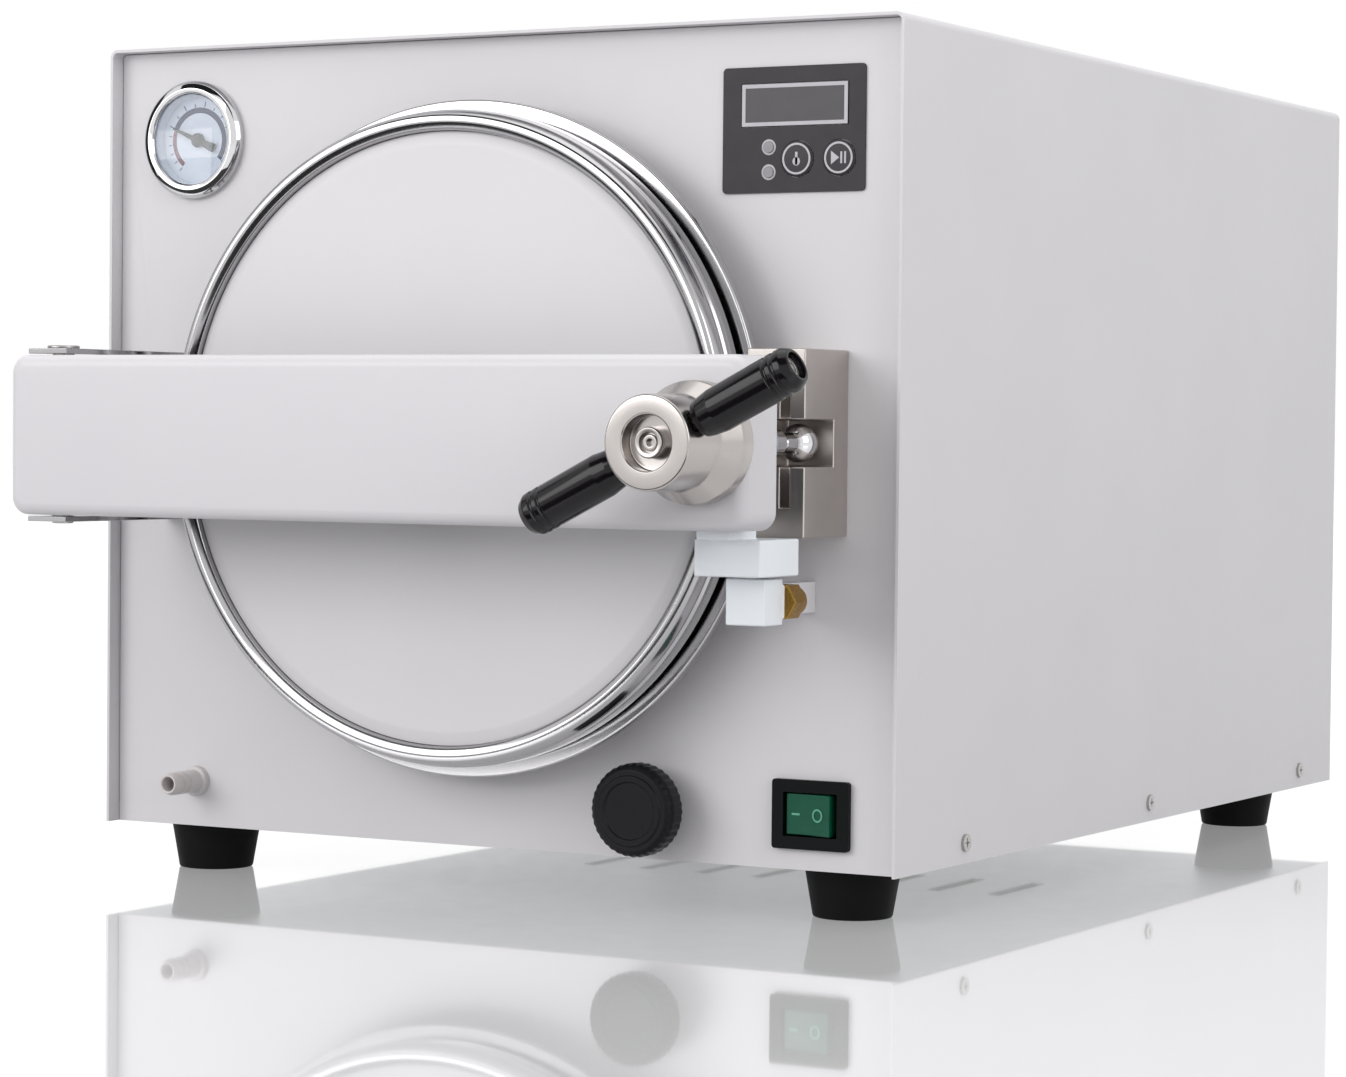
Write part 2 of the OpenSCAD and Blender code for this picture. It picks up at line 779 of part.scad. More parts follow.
module door_inner_plate() {
  step = rim_front + 2 * bead_r + loose;
  color("silver") cab() on_axis() difference() {
    union() {
      rod_y(0, disc_front + disc_t, 0, 2 * (disc_r - loose), step - disc_front - disc_t, $fn = 144);
      rod_y(0, step, 0, 2 * (rim_r - bead_r - loose), rim_back - step, $fn = 144);
    }
    tube_y(0, rim_back - seal_groove, 0, 2 * (seal_out + 0.2), 2 * (seal_in - 0.2), 20, $fn = 144);
    rod_y(0, 0 - 60, 0, stud_d - 8, 60 + rim_back - 4);
  }
}

module door_seal() {
  color("ivory") cab() on_axis()
    tube_y(0, rim_back - seal_groove, 0, 2 * seal_out, 2 * seal_in,
      flange_face - loose - rim_back + seal_groove, $fn = 144);
}

module pivot_stud() {
  front = bar_front + bar_t;
  color("dimgray") cab() on_axis() {
    rod_y(0, front, 0, stud_d + 18, 5);
    rod_y(0, front, 0, stud_d, disc_front - front);
    rod_y(0, disc_front - 6, 0, stud_d + 34, 6);
    rod_y(0, disc_front, 0, stud_d - 8 - loose, rim_back - 4 - disc_front);
  }
}

module door_beam() {
  left = -pin_x;
  right = cover_right - cover_t - 2;
  color("dimgray") cab() on_axis() difference() {
    union() {
      translate([left, bar_front, -bar_half]) cube([right - left, bar_t, 2 * bar_half]);
      translate([left, pin_y, -beam_h / 2 + 3]) cylinder(d = barrel_d, h = beam_h - 6);
    }
    translate([left, pin_y, -beam_h]) cylinder(d = pin_d + 2 * run_clear, h = 2 * beam_h);
    rod_y(bolt_x, bar_front - past, 0, collar_d + 2 * loose, bar_t + 2 * past);
  }
}

module beam_cover() {
  mid = (cover_right - cover_left) / 2;
  width = cover_right + cover_left;
  color("gainsboro") cab() on_axis() difference() {
    union() {
      translate([mid, 0, 0]) wall_y(beam_front + 1.5, beam_depth - 1.5) round_rect(width, beam_h, cover_r);
      translate([mid, 0, 0]) wall_y(beam_front, 1.5) round_rect(width - 2.4, beam_h - 2.4, cover_r - 1.2);
    }
    translate([mid, 0, 0]) wall_y(beam_front + cover_t, beam_depth)
      round_rect(width - 2 * cover_t, beam_h - 2 * cover_t, cover_r - cover_t);
    rod_y(bolt_x, beam_front - past, 0, collar_d + 2 * loose, 10);
    translate([-pin_x, pin_y, -beam_h]) cylinder(d = barrel_d + 2, h = 2 * beam_h);
  }
  color("silver") cab() on_axis() for (s = [-1, 1])
    translate([0, beam_front + 15, s * beam_h / 2]) rotate([s > 0 ? 0 : 180, 0, 0]) cylinder(d = 7, h = 1.2);
}

module hinge_bracket() {
  ear_w = 22;
  ear_front = pin_y - 12;
  color("lightgray") cab() on_axis() difference() {
    union() {
      for (z = [ear_z, -ear_z - ear_t])
        translate([-pin_x - ear_w / 2, ear_front, z]) cube([ear_w, lip - ear_front, ear_t]);
      translate([-pin_x - ear_w / 2, lip - 4, -ear_z - ear_t])
        cube([ear_w, 4, 2 * (ear_z + ear_t)]);
    }
    translate([-pin_x, pin_y, -beam_h]) cylinder(d = pin_d + 2 * run_clear, h = 2 * beam_h);
  }
}

module hinge_pin() {
  color("silver") cab() on_axis() translate([-pin_x, pin_y, 0]) {
    translate([0, 0, -ear_z - ear_t - 1]) cylinder(d = pin_d, h = 2 * (ear_z + ear_t) + 1);
    translate([0, 0, ear_z + ear_t]) cylinder(d = pin_d + 5, h = 1.5);
  }
}

// ---------- clamp and handle ----------

module clamp_bolt() {
  color("silver") cab() on_axis() {
    rod_y(bolt_x, hub_front + 14, 0, bolt_d, ball_y - hub_front - 14 - ball_d / 4);
    translate([bolt_x, ball_y, 0]) sphere(d = ball_d);
  }
}

module bolt_collar() {
  color("lightsteelblue") cab() on_axis() {
    tube_y(bolt_x, collar_front, 0, collar_d, bolt_d + 2 * loose, bracket_front - 22 - collar_front);
    tube_y(bolt_x, bar_front + bar_t, 0, collar_d + 12, collar_d - 1, 4);
  }
}

module thrust_washer() {
  color("silver") cab() on_axis()
    tube_y(bolt_x, collar_front - washer_t, 0, hub_base_d - 6, bolt_d + 2 * run_clear, washer_t);
}

module handle_hub() {
  color("silver") cab() on_axis() translate([bolt_x, 0, 0]) difference() {
    union() {
      translate([0, hub_back, 0]) rotate([90, 0, 0]) cylinder(d = hub_base_d, h = 9);
      translate([0, hub_back - 9, 0]) rotate([90, 0, 0]) cylinder(d1 = hub_base_d, d2 = hub_d, h = 10);
      rod_y(0, hub_front, 0, hub_d, hub_len - 18);
    }
    rod_y(0, hub_front - past, 0, hub_d * 0.58, 7 + past);
    rod_y(0, hub_front + 12, 0, bolt_d + 2 * run_clear, hub_len);
    rotate([0, -grip_angle, 0]) translate([-hub_d, grip_y, 0]) rotate([0, 90, 0])
      cylinder(d = stud_rod_d + 2 * run_clear, h = hub_d - bolt_d / 2 - 3);
    rotate([0, -grip_angle, 0]) translate([bolt_d / 2 + 3, grip_y, 0]) rotate([0, 90, 0])
      cylinder(d = stud_rod_d + 2 * run_clear, h = hub_d);
  }
}

module hub_screw() {
  color("silver") cab() on_axis() translate([bolt_x, 0, 0]) difference() {
    rod_y(0, hub_front + 1.5, 0, 13, 5.5);
    tube_y(0, hub_front, 0, 10, 7, 3);
    translate([0, hub_front + 3, 0]) rotate([90, 0, 0]) cylinder(d = 4, h = 5, $fn = 6);
  }
}

module grips_side(s) {
  on_axis() translate([bolt_x, grip_y, 0]) rotate([0, -grip_angle, 0])
    rotate([0, s * 90, 0]) children();
}

module handle_grips() {
  color("#1a151c") cab() for (s = [-1, 1]) grips_side(s) difference() {
    union() {
      translate([0, 0, grip_start]) cylinder(d1 = grip_d - 3, d2 = grip_d, h = 6);
      translate([0, 0, grip_start + 6]) cylinder(d = grip_d, h = grip_reach - grip_start - 14);
      translate([0, 0, grip_reach - 8]) cylinder(d = grip_d - 1.6, h = 1.5);
      translate([0, 0, grip_reach - 6.5]) cylinder(d = grip_d, h = 4.5);
      translate([0, 0, grip_reach - 2]) cylinder(d1 = grip_d, d2 = grip_d - 3, h = 2);
    }
    translate([0, 0, grip_start - past]) cylinder(d = stud_rod_d + 2 * run_clear, h = grip_reach);
    translate([0, 0, grip_reach - 4]) cylinder(d = 11, h = 6);
  }
}

module grip_studs() {
  color("silver") cab() for (s = [-1, 1]) grips_side(s) difference() {
    union() {
      translate([0, 0, bolt_d / 2 + 3.4]) cylinder(d = stud_rod_d, h = grip_reach - bolt_d / 2 - 6);
      translate([0, 0, grip_reach - 4]) cylinder(d = 10, h = 1.8);
    }
    translate([-5, -0.6, grip_reach - 3.2]) cube([10, 1.2, 4]);
  }
}

// Block on the cabinet whose notch holds the ball, open to the front and right
module latch_bracket() {
  color("lightgray") cab() on_axis() difference() {
    translate([bracket_l, bracket_front, -bracket_half])
      cube([bracket_r - bracket_l, lip - bracket_front, 2 * bracket_half]);
    translate([bolt_x - ball_d / 2 - 2, bracket_front - past, -notch_half])
      cube([60, ball_y + ball_d / 2 + 2 - bracket_front + past, 2 * notch_half]);
    translate([bolt_x, bracket_front - past, -bracket_half + 13])
      cube([5, 9 + past, 2 * bracket_half]);
  }
}

module interlock_striker() {
  color("lightcyan") cab() on_axis() difference() {
    union() {
      translate([lock_x - striker_w / 2, lock_y - 22, striker_top - striker_h])
        cube([striker_w, 36, striker_h]);
      translate([lock_x - 8, beam_back - 12, striker_top])
        cube([16, lock_y - 10 - beam_back + 12, -beam_h / 2 - striker_top]);
    }
    translate([lock_x - striker_w / 2 - past, lock_y - lock_pin_d / 2 - lock_side,
      striker_top - striker_h - past])
      cube([striker_w / 2 + past + lock_pin_d / 2 + lock_side, lock_pin_d + 2 * lock_side,
        lock_travel + 3 + past]);
  }
}

module interlock_guide() {
  guide_back = guide_front + guide_depth;
  color("lightcyan") cab() on_axis() difference() {
    union() {
      translate([lock_x - 8, guide_front, guide_top - guide_h]) cube([guide_w, guide_depth, guide_h]);
      translate([lock_x - 8, guide_back, guide_top - guide_h + 3])
        cube([9, lip - guide_back, guide_h - 6]);
      translate([lock_x + 9, guide_back, guide_top - guide_h / 2]) rotate([-90, 0, 0])
        cylinder(d = plug_d, h = 8, $fn = 6);
      translate([lock_x + 9, guide_back + 8, guide_top - guide_h / 2]) rotate([-90, 0, 0])
        cylinder(d = plug_d - 7, h = 3);
    }
    translate([lock_x, lock_y, guide_top - 15])
      cylinder(d = lock_pin_d + 2 * run_clear, h = 20, $fn = 32);
  }
}

module interlock_pin() {
  color("silver") cab() on_axis() translate([lock_x, lock_y, guide_top - 14.7])
    cylinder(d = lock_pin_d, h = 14.7 + lock_gap / 3, $fn = 32);
}

// ---------- electrics ----------

module power_inlet() {
  color("black") cab() translate([inlet_x, 0, inlet_z]) difference() {
    union() {
      wall_y(rear_y - 22, 22) square([inlet_w, inlet_h], center = true);
      wall_y(rear_y, 3) round_rect(inlet_w + 10, inlet_h + 10, 3, $fn = 24);
    }
    translate([0, 0, 9]) wall_y(rear_y - 14, 40) square([23, 17], center = true);
    translate([0, 0, -12]) wall_y(rear_y + 1.6, 40) difference() {
      square([22, 16], center = true);
      square([19, 13], center = true);
    }
  }
  color("silver") cab() translate([inlet_x, rear_y - 14, inlet_z + 9])
    for (p = [[-6, -2], [6, -2], [0, 3]])
      translate([p[0] - 1, 0, p[1] - 2]) cube([2, 11, 4]);
}

module transformer() {
  core_y = cab_d - 140;
  color("dimgray") cab() {
    translate([40, core_y, sheet]) cube([70, 60, 58]);
    translate([48, core_y - 10, sheet + 10]) cube([54, 80, 38]);
  }
}

cover_shell();
front_panel();
rear_panel();
base_tray();
rubber_feet();
foot_screws();
case_screws();
chamber_vessel();
chamber_flange();
insulation_jacket();
heater_band();
vessel_cradles();
tray_rack();
tray(-1);  // tray_lower
tray(0);  // tray_middle
tray(1);  // tray_upper
temperature_probe();
steam_pipe();
valve_body();
valve_knob();
drain_spigot();
drain_pipe();
safety_valve();
safety_pull();
gauge_case();
gauge_bezel();
gauge_dial();
gauge_needle();
gauge_lens();
gauge_line();
control_bezel();
display_window();
status_leds();
button(0);  // button_left
button(1);  // button_right
control_board();
rocker_housing();
rocker();
door_disc();
door_rim();
door_inner_plate();
door_seal();
pivot_stud();
door_beam();
beam_cover();
hinge_bracket();
hinge_pin();
clamp_bolt();
bolt_collar();
thrust_washer();
handle_hub();
hub_screw();
handle_grips();
grip_studs();
latch_bracket();
interlock_striker();
interlock_guide();
interlock_pin();
power_inlet();
transformer();
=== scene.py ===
# %% [markdown]
# # Benchtop autoclave
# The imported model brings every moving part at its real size. This notebook gives
# each part its finish, and rebuilds the pieces that the eye lands on first: the
# polished rings, the turned hub, the grips, the gauge and the keys.

# %% Load the frame
import json
import math
import bmesh
import bpy
from mathutils import Matrix, Vector


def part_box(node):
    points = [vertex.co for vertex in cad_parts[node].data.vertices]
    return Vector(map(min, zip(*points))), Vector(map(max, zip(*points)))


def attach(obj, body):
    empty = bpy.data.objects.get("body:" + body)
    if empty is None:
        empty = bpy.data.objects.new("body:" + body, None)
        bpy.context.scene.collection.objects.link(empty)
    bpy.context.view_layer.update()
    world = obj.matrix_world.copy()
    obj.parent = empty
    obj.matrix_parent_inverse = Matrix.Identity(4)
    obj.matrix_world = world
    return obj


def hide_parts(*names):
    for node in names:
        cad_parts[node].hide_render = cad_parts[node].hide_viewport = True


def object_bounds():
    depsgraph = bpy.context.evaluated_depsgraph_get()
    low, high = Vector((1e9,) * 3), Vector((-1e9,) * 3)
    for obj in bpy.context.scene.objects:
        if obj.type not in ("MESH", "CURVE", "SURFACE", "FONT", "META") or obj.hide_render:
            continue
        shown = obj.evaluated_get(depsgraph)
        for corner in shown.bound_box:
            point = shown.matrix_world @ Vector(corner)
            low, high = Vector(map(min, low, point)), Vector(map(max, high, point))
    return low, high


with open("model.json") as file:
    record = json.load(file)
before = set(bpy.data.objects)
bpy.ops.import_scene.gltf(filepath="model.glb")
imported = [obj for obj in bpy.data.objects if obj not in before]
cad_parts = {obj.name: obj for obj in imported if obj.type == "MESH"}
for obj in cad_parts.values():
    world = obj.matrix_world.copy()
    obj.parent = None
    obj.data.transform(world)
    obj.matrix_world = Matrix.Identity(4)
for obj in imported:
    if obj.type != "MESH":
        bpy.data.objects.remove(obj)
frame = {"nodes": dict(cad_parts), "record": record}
CAD_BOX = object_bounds()
NODES = frame["nodes"]
MM = 0.001
print("nodes", len(NODES), "box", [tuple(round(v, 4) for v in c) for c in CAD_BOX])

# %% [markdown]
# Positions are read from the parts themselves. A part's box gives its centre, its
# front (lowest y) and its radius, so a piece that is rebuilt lands where it was.


# %% Read places from the frame
def middle(node):
    low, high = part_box(node)
    return (low + high) / 2


def front(node):
    low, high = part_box(node)
    centre = (low + high) / 2
    return Vector((centre.x, low.y, centre.z))


def size_mm(node):
    low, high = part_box(node)
    return (high - low) / MM


body_of = {n: b for b, names in frame["record"]["behaviour"]["bodies"].items() for n in names}
slot_of = {r["node"]: r["material_slot"] for r in frame["record"]["subparts"]}
print("door axis", tuple(round(v, 4) for v in middle("door_rim")))

# %% [markdown]
# ## Camera
# The view is a long lens at eye level with the cabinet's middle, a little to its
# right. It is set from the cabinet's front lower edge, turned 29 degrees and
# tipped down by less than two.

# %% Camera
CAMERA_FROM_EDGE = Vector((0.9261, -1.4783, 0.1958))
AZIMUTH = math.radians(29.12)
TIP = math.radians(1.673)
ROLL = math.radians(0.573)
LENS = 100.63
SENSOR = 36.0

cover_low, cover_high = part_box("cover_shell")
edge = Vector(((cover_low.x + cover_high.x) / 2, cover_low.y, cover_low.z))
back = Vector((math.sin(AZIMUTH) * math.cos(TIP), -math.cos(AZIMUTH) * math.cos(TIP), math.sin(TIP)))
right = (-back).cross(Vector((0, 0, 1))).normalized()
up = right.cross(-back)
side_axis = right * math.cos(ROLL) + up * math.sin(ROLL)
up_axis = up * math.cos(ROLL) - right * math.sin(ROLL)
camera = bpy.data.objects.new("camera", bpy.data.cameras.new("camera"))
bpy.context.collection.objects.link(camera)
turn = Matrix((side_axis, up_axis, back)).transposed()
camera.matrix_world = Matrix.Translation(edge + CAMERA_FROM_EDGE) @ turn.to_4x4()
camera.data.lens = LENS
camera.data.sensor_width = SENSOR
camera.data.clip_end = 100
bpy.context.scene.camera = camera
print("camera", tuple(round(v, 3) for v in camera.location))

# %% [markdown]
# ## Making materials
# A material is a small graph. One function adds a node, sets what is fixed on it
# and links what varies. Another turns the hex colours of a paint chart into the
# linear numbers that a renderer works in.


# %% Colour and node helpers
def linear(code):
    values = [int(code[i:i + 2], 16) / 255 for i in (1, 3, 5)]
    return [v / 12.92 if v <= 0.04045 else ((v + 0.055) / 1.055) ** 2.4 for v in values] + [1.0]


def add(tree, kind, settings=None, **inputs):
    made = tree.nodes.new(kind)
    for name, value in (settings or {}).items():
        setattr(made, name, value)
    for name, value in inputs.items():
        key = int(name[1:]) if name[0] == "_" else name.replace("_", " ")
        if isinstance(value, bpy.types.NodeSocket):
            tree.links.new(value, made.inputs[key])
        else:
            made.inputs[key].default_value = value
    return made


def start(name, base, roughness, metallic=0.0, **more):
    material = bpy.data.materials.new(name)
    material.use_nodes = True
    tree = material.node_tree
    shader = tree.nodes["Principled BSDF"]
    shader.inputs["Base Color"].default_value = linear(base)
    shader.inputs["Roughness"].default_value = roughness
    shader.inputs["Metallic"].default_value = metallic
    for key, value in more.items():
        shader.inputs[key.replace("_", " ")].default_value = value
    material.diffuse_color = linear(base)
    return material, tree, shader


def place(tree):
    return add(tree, "ShaderNodeTexCoord").outputs["Object"]


def per_mm(size):
    """Noise scale whose features measure size millimetres, in metres of object space."""
    return 1.0 / (size * MM)


def blotch(tree, size, detail=3.0, stretch=None):
    vector = place(tree)
    if stretch:
        vector = add(tree, "ShaderNodeMapping", None, Vector=vector, Scale=stretch).outputs[0]
    noise = add(tree, "ShaderNodeTexNoise", None, Vector=vector, Scale=per_mm(size), Detail=detail)
    return noise.outputs["Fac"]


def between(tree, factor, low, high):
    """A factor from 0 to 1 mapped to the range low to high."""
    return add(tree, "ShaderNodeMapRange", None, Value=factor, To_Min=low, To_Max=high).outputs[0]


def tinted(tree, factor, dark, light):
    return add(tree, "ShaderNodeMix", {"data_type": "RGBA"}, _0=factor, _6=linear(dark),
               _7=linear(light)).outputs[2]


def feed(tree, socket, value):
    tree.links.new(value, socket)


def relief(tree, shader, height, depth_mm):
    bump = add(tree, "ShaderNodeBump", None, Height=height, Distance=depth_mm * MM, Strength=1.0)
    feed(tree, shader.inputs["Normal"], bump.outputs["Normal"])


def vary(tree, shader, factor, low, high):
    """Roughness that drifts between two values with a factor."""
    feed(tree, shader.inputs["Roughness"], between(tree, factor, low, high))


print("white in linear", [round(v, 3) for v in linear("#ffffff")])

# %% [markdown]
# ### Powder coat
# The cabinet is sheet steel under a baked powder coat. The powder melts into a
# skin with a faint orange peel about a millimetre and a half across, so a wide
# highlight breaks up softly. Large, very faint blotches keep a big face alive.


# %% Powder coats
def powder_coat(name, base, deep, roughness=0.42, peel=1.6, depth=0.02):
    material, tree, shader = start(name, base, roughness, IOR=1.5)
    feed(tree, shader.inputs["Base Color"], tinted(tree, blotch(tree, 90.0, 2.0), deep, base))
    vary(tree, shader, blotch(tree, 6.0), roughness - 0.05, roughness + 0.06)
    relief(tree, shader, blotch(tree, peel, 1.5), depth)
    return material


cabinet_coat = powder_coat("powder_coat_cabinet", "#dedcdf", "#d7d5d8")
panel_coat = powder_coat("powder_coat_panel", "#e0dee1", "#dad8db")
door_coat = powder_coat("powder_coat_door", "#e2e0e3", "#dbd9dc", 0.38)
beam_coat = powder_coat("baked_enamel_beam", "#dcdadd", "#d6d4d8", 0.34, 2.4, 0.012)
block_coat = powder_coat("pale_blue_enamel", "#fafdff", "#eef4fa", 0.35, 1.2, 0.015)
print("powder coats", cabinet_coat.name, beam_coat.name)

# %% [markdown]
# ### Polished and turned steel
# The door rim and the chamber flange are stainless steel, turned and then
# buffed. The tool leaves rings round the axis, far too fine to count, so they
# are drawn a little coarser than life. The rings come from the distance to the
# axis of the piece's own space.


# %% Turned steels
def ring_factor(tree, pitch_mm):
    """Noise that changes only with the distance from the piece's own y axis."""
    parts = add(tree, "ShaderNodeSeparateXYZ", None, Vector=place(tree)).outputs
    flat = add(tree, "ShaderNodeCombineXYZ", None, X=parts[0], Z=parts[2]).outputs[0]
    radius = add(tree, "ShaderNodeVectorMath", {"operation": "LENGTH"}, _0=flat).outputs["Value"]
    along = add(tree, "ShaderNodeMath", {"operation": "MULTIPLY"}, _0=parts[1], _1=0.8).outputs[0]
    both = add(tree, "ShaderNodeMath", {"operation": "ADD"}, _0=radius, _1=along).outputs[0]
    return add(tree, "ShaderNodeTexNoise", {"noise_dimensions": "1D"}, W=both, Scale=per_mm(pitch_mm),
               Detail=2.0).outputs["Fac"]


def turned_steel(name, base, roughness, pitch=0.35, depth=0.004, smudge=0.04):
    material, tree, shader = start(name, base, roughness, 1.0)
    vary(tree, shader, blotch(tree, 14.0), roughness - smudge / 2, roughness + smudge)
    relief(tree, shader, ring_factor(tree, pitch), depth)
    return material


polished = turned_steel("stainless_buffed", "#b2b1b3", 0.12, 0.5, 0.0015)
hub_metal = turned_steel("stainless_turned_hub", "#b5b0ad", 0.2, 0.45, 0.004)
chrome = turned_steel("chrome_plated_brass", "#d8d8da", 0.04, 0.6, 0.0004, 0.02)
print("turned steels", polished.name, hub_metal.name, chrome.name)


# %% [markdown]
# ### Ground, rolled and plated sheet
# The latch bracket is ground flat: scratches run one way, each a fraction of a
# millimetre wide and many long. Screws and the bolt's collar are zinc plated,
# with a bluish cast and a soft crystalline mottling.


# %% Sheet and plated metals
def ground_metal(name, base, roughness, run, width, depth, dark):
    material, tree, shader = start(name, base, roughness, 1.0)
    scratches = blotch(tree, width, 3.0, run)
    vary(tree, shader, scratches, roughness - 0.08, roughness + 0.1)
    feed(tree, shader.inputs["Base Color"], tinted(tree, blotch(tree, 20.0), dark, base))
    relief(tree, shader, scratches, depth)
    return material


bracket_metal = ground_metal("stainless_ground", "#cbc5c1", 0.38, (1, 1, 0.02), 0.6, 0.005, "#beb7b2")
inner_steel = ground_metal("stainless_satin", "#c9c8c6", 0.3, (1, 0.03, 1), 0.5, 0.004, "#bdbcba")
zinc_sheet = ground_metal("galvanised_sheet", "#b4b6b8", 0.42, (1, 1, 1), 9.0, 0.004, "#a2a5a8")
screw_zinc = ground_metal("zinc_plated_screw", "#bdbcb9", 0.28, (1, 1, 1), 1.2, 0.01, "#a5a4a2")
collar_zinc = ground_metal("blue_zinc_plate", "#b9c2d0", 0.26, (1, 0.2, 1), 1.0, 0.006, "#9da9bb")
dark_steel = powder_coat("black_oxide_steel", "#3b3b3e", "#2e2e31", 0.5)
brass = ground_metal("turned_brass", "#c39a4c", 0.25, (1, 0.1, 1), 0.6, 0.006, "#8f6a2c")
copper = ground_metal("drawn_copper", "#c07c55", 0.3, (1, 0.1, 1), 0.8, 0.006, "#96573a")
print("sheet metals", bracket_metal.name, collar_zinc.name)


# %% [markdown]
# ### Plastics and rubber
# The grips are phenolic, moulded hard and glossy. The valve knob is the same
# resin with a duller skin. Feet are moulded rubber: nearly black, with a fine
# grain and a faint dusty bloom in small patches.


# %% Plastics and rubber
def moulded(name, base, roughness, grain, depth, bloom, **more):
    material, tree, shader = start(name, base, roughness, **more)
    vary(tree, shader, blotch(tree, 7.0), roughness - 0.04, roughness + 0.07)
    feed(tree, shader.inputs["Base Color"], tinted(tree, blotch(tree, 5.0), base, bloom))
    relief(tree, shader, blotch(tree, grain), depth)
    return material


grip_resin = moulded("phenolic_glossy", "#0d0a0e", 0.14, 1.5, 0.003, "#131014", IOR=1.5,
                     Specular_IOR_Level=0.3)
knob_resin = moulded("phenolic_satin", "#101013", 0.36, 0.5, 0.01, "#151519", IOR=1.5,
                     Specular_IOR_Level=0.15)
foot_rubber = moulded("moulded_rubber", "#08080a", 0.55, 0.4, 0.02, "#0d0d0f", IOR=1.5,
                      Specular_IOR_Level=0.12)
switch_nylon = moulded("black_nylon", "#040708", 0.34, 0.8, 0.004, "#070a0b", IOR=1.5,
                       Specular_IOR_Level=0.1)
rocker_resin = moulded("green_polycarbonate", "#0a5a42", 0.22, 1.2, 0.002, "#074a36", IOR=1.5,
                       Specular_IOR_Level=0.25)
spigot_nylon = moulded("white_nylon", "#cfcaca", 0.35, 0.9, 0.006, "#d0cccc", IOR=1.53,
                       Subsurface_Weight=0.15, Subsurface_Scale=0.003)
seal_rubber = moulded("silicone_seal", "#d9d3c4", 0.5, 0.8, 0.01, "#cfc8b6", IOR=1.41)
hose_rubber = moulded("silicone_hose", "#cfc4ab", 0.45, 0.8, 0.01, "#c2b69a", IOR=1.41)
jacket_wool = moulded("glass_wool", "#e8e2cf", 0.9, 2.5, 0.5, "#d6cda9")
board_mask = moulded("solder_mask", "#14532b", 0.32, 1.5, 0.01, "#0f4423", IOR=1.52)
field_film = moulded("polyester_film", "#39353a", 0.4, 0.5, 0.003, "#353136", IOR=1.5,
                     Specular_IOR_Level=0.25)
key_film = moulded("polyester_key", "#3b373c", 0.36, 0.5, 0.003, "#37333a", IOR=1.5,
                   Specular_IOR_Level=0.25)
window_film = moulded("tinted_acrylic", "#302c31", 0.14, 3.0, 0.001, "#343035", IOR=1.49,
                      Specular_IOR_Level=0.35)
print_ink = moulded("screen_print_ink", "#c9c6cc", 0.5, 0.4, 0.002, "#bdbac0")
mark_ink = moulded("pad_print_mark", "#6cc2a8", 0.45, 0.4, 0.002, "#4f9a83")
lamp_lens = moulded("lamp_lens", "#8e8b90", 0.22, 1.0, 0.002, "#858287", IOR=1.49)
print("plastics", grip_resin.name, foot_rubber.name)

# %% [markdown]
# ### Gauge glass and dial
# The lens is thin float glass: clear, with its usual index of 1.5. The dial is
# white enamel with a cool cast, and its arcs are printed ink.


# %% Glass and dial finishes
def clear_glass(name, base):
    material, tree, shader = start(name, base, 0.02, IOR=1.5, Transmission_Weight=1.0)
    vary(tree, shader, blotch(tree, 12.0), 0.0, 0.01)
    return material


gauge_glass = clear_glass("float_glass", "#fbfdff")
dial_enamel = moulded("dial_enamel", "#e6edfa", 0.4, 2.0, 0.001, "#dde5f4")
navy_ink = moulded("navy_ink", "#16264a", 0.5, 0.5, 0.001, "#324470")
red_ink = moulded("red_ink", "#6b2b3d", 0.5, 0.5, 0.001, "#7d3f50")
black_ink = moulded("black_ink", "#101218", 0.5, 0.5, 0.001, "#16181f", Specular_IOR_Level=0.2)
print("gauge finishes", gauge_glass.name, dial_enamel.name)

# %% [markdown]
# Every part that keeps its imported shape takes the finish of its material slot.

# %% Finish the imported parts
FINISH = {
    "cabinet_paint": cabinet_coat, "panel_paint": panel_coat, "door_paint": door_coat,
    "beam_paint": beam_coat, "zinc_steel": zinc_sheet, "foot_rubber": foot_rubber,
    "screw_steel": screw_zinc, "stainless": inner_steel, "polished_steel": polished,
    "insulation": jacket_wool, "dark_steel": dark_steel, "copper_pipe": copper,
    "brass_fitting": brass, "black_plastic": knob_resin, "white_nylon": spigot_nylon,
    "silicone_hose": hose_rubber, "chrome_trim": chrome, "dial_face": dial_enamel,
    "needle_black": black_ink, "gauge_glass": gauge_glass, "control_field": field_film,
    "display_window": window_film, "led_lens": lamp_lens, "control_button": key_film,
    "circuit_board": board_mask, "switch_black": switch_nylon, "rocker_green": rocker_resin,
    "silicone_seal": seal_rubber, "zinc_collar": collar_zinc, "hub_steel": hub_metal,
    "grip_black": grip_resin, "brushed_bracket": bracket_metal, "interlock_paint": block_coat,
}
for name, obj in NODES.items():
    finish = FINISH[slot_of[name]]
    if not obj.material_slots:
        obj.data.materials.append(finish)
    for slot in obj.material_slots:
        slot.material = finish
print("finished", len(NODES), "parts with", len(FINISH), "materials")

# %% [markdown]
# ## Making pieces
# Sheet and block parts are already the right shape, but a real edge is never
# perfectly sharp: it is deburred, bent or coated. `eased` copies a part's mesh,
# merges its flat faces back into single polygons and bevels the hard edges, so
# each edge catches a thin line of light.


# %% Helpers for pieces
def settle(obj, node, material):
    """The piece takes a finish, and rides with the part's body."""
    obj.data.materials.clear()
    obj.data.materials.append(material)
    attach(obj, body_of[node])


def new_object(name, work, at=None):
    mesh = bpy.data.meshes.new(name)
    work.to_mesh(mesh)
    work.free()
    obj = bpy.data.objects.new(name, mesh)
    bpy.context.collection.objects.link(obj)
    if at is not None:
        obj.matrix_world = at if isinstance(at, Matrix) else Matrix.Translation(at)
    return obj


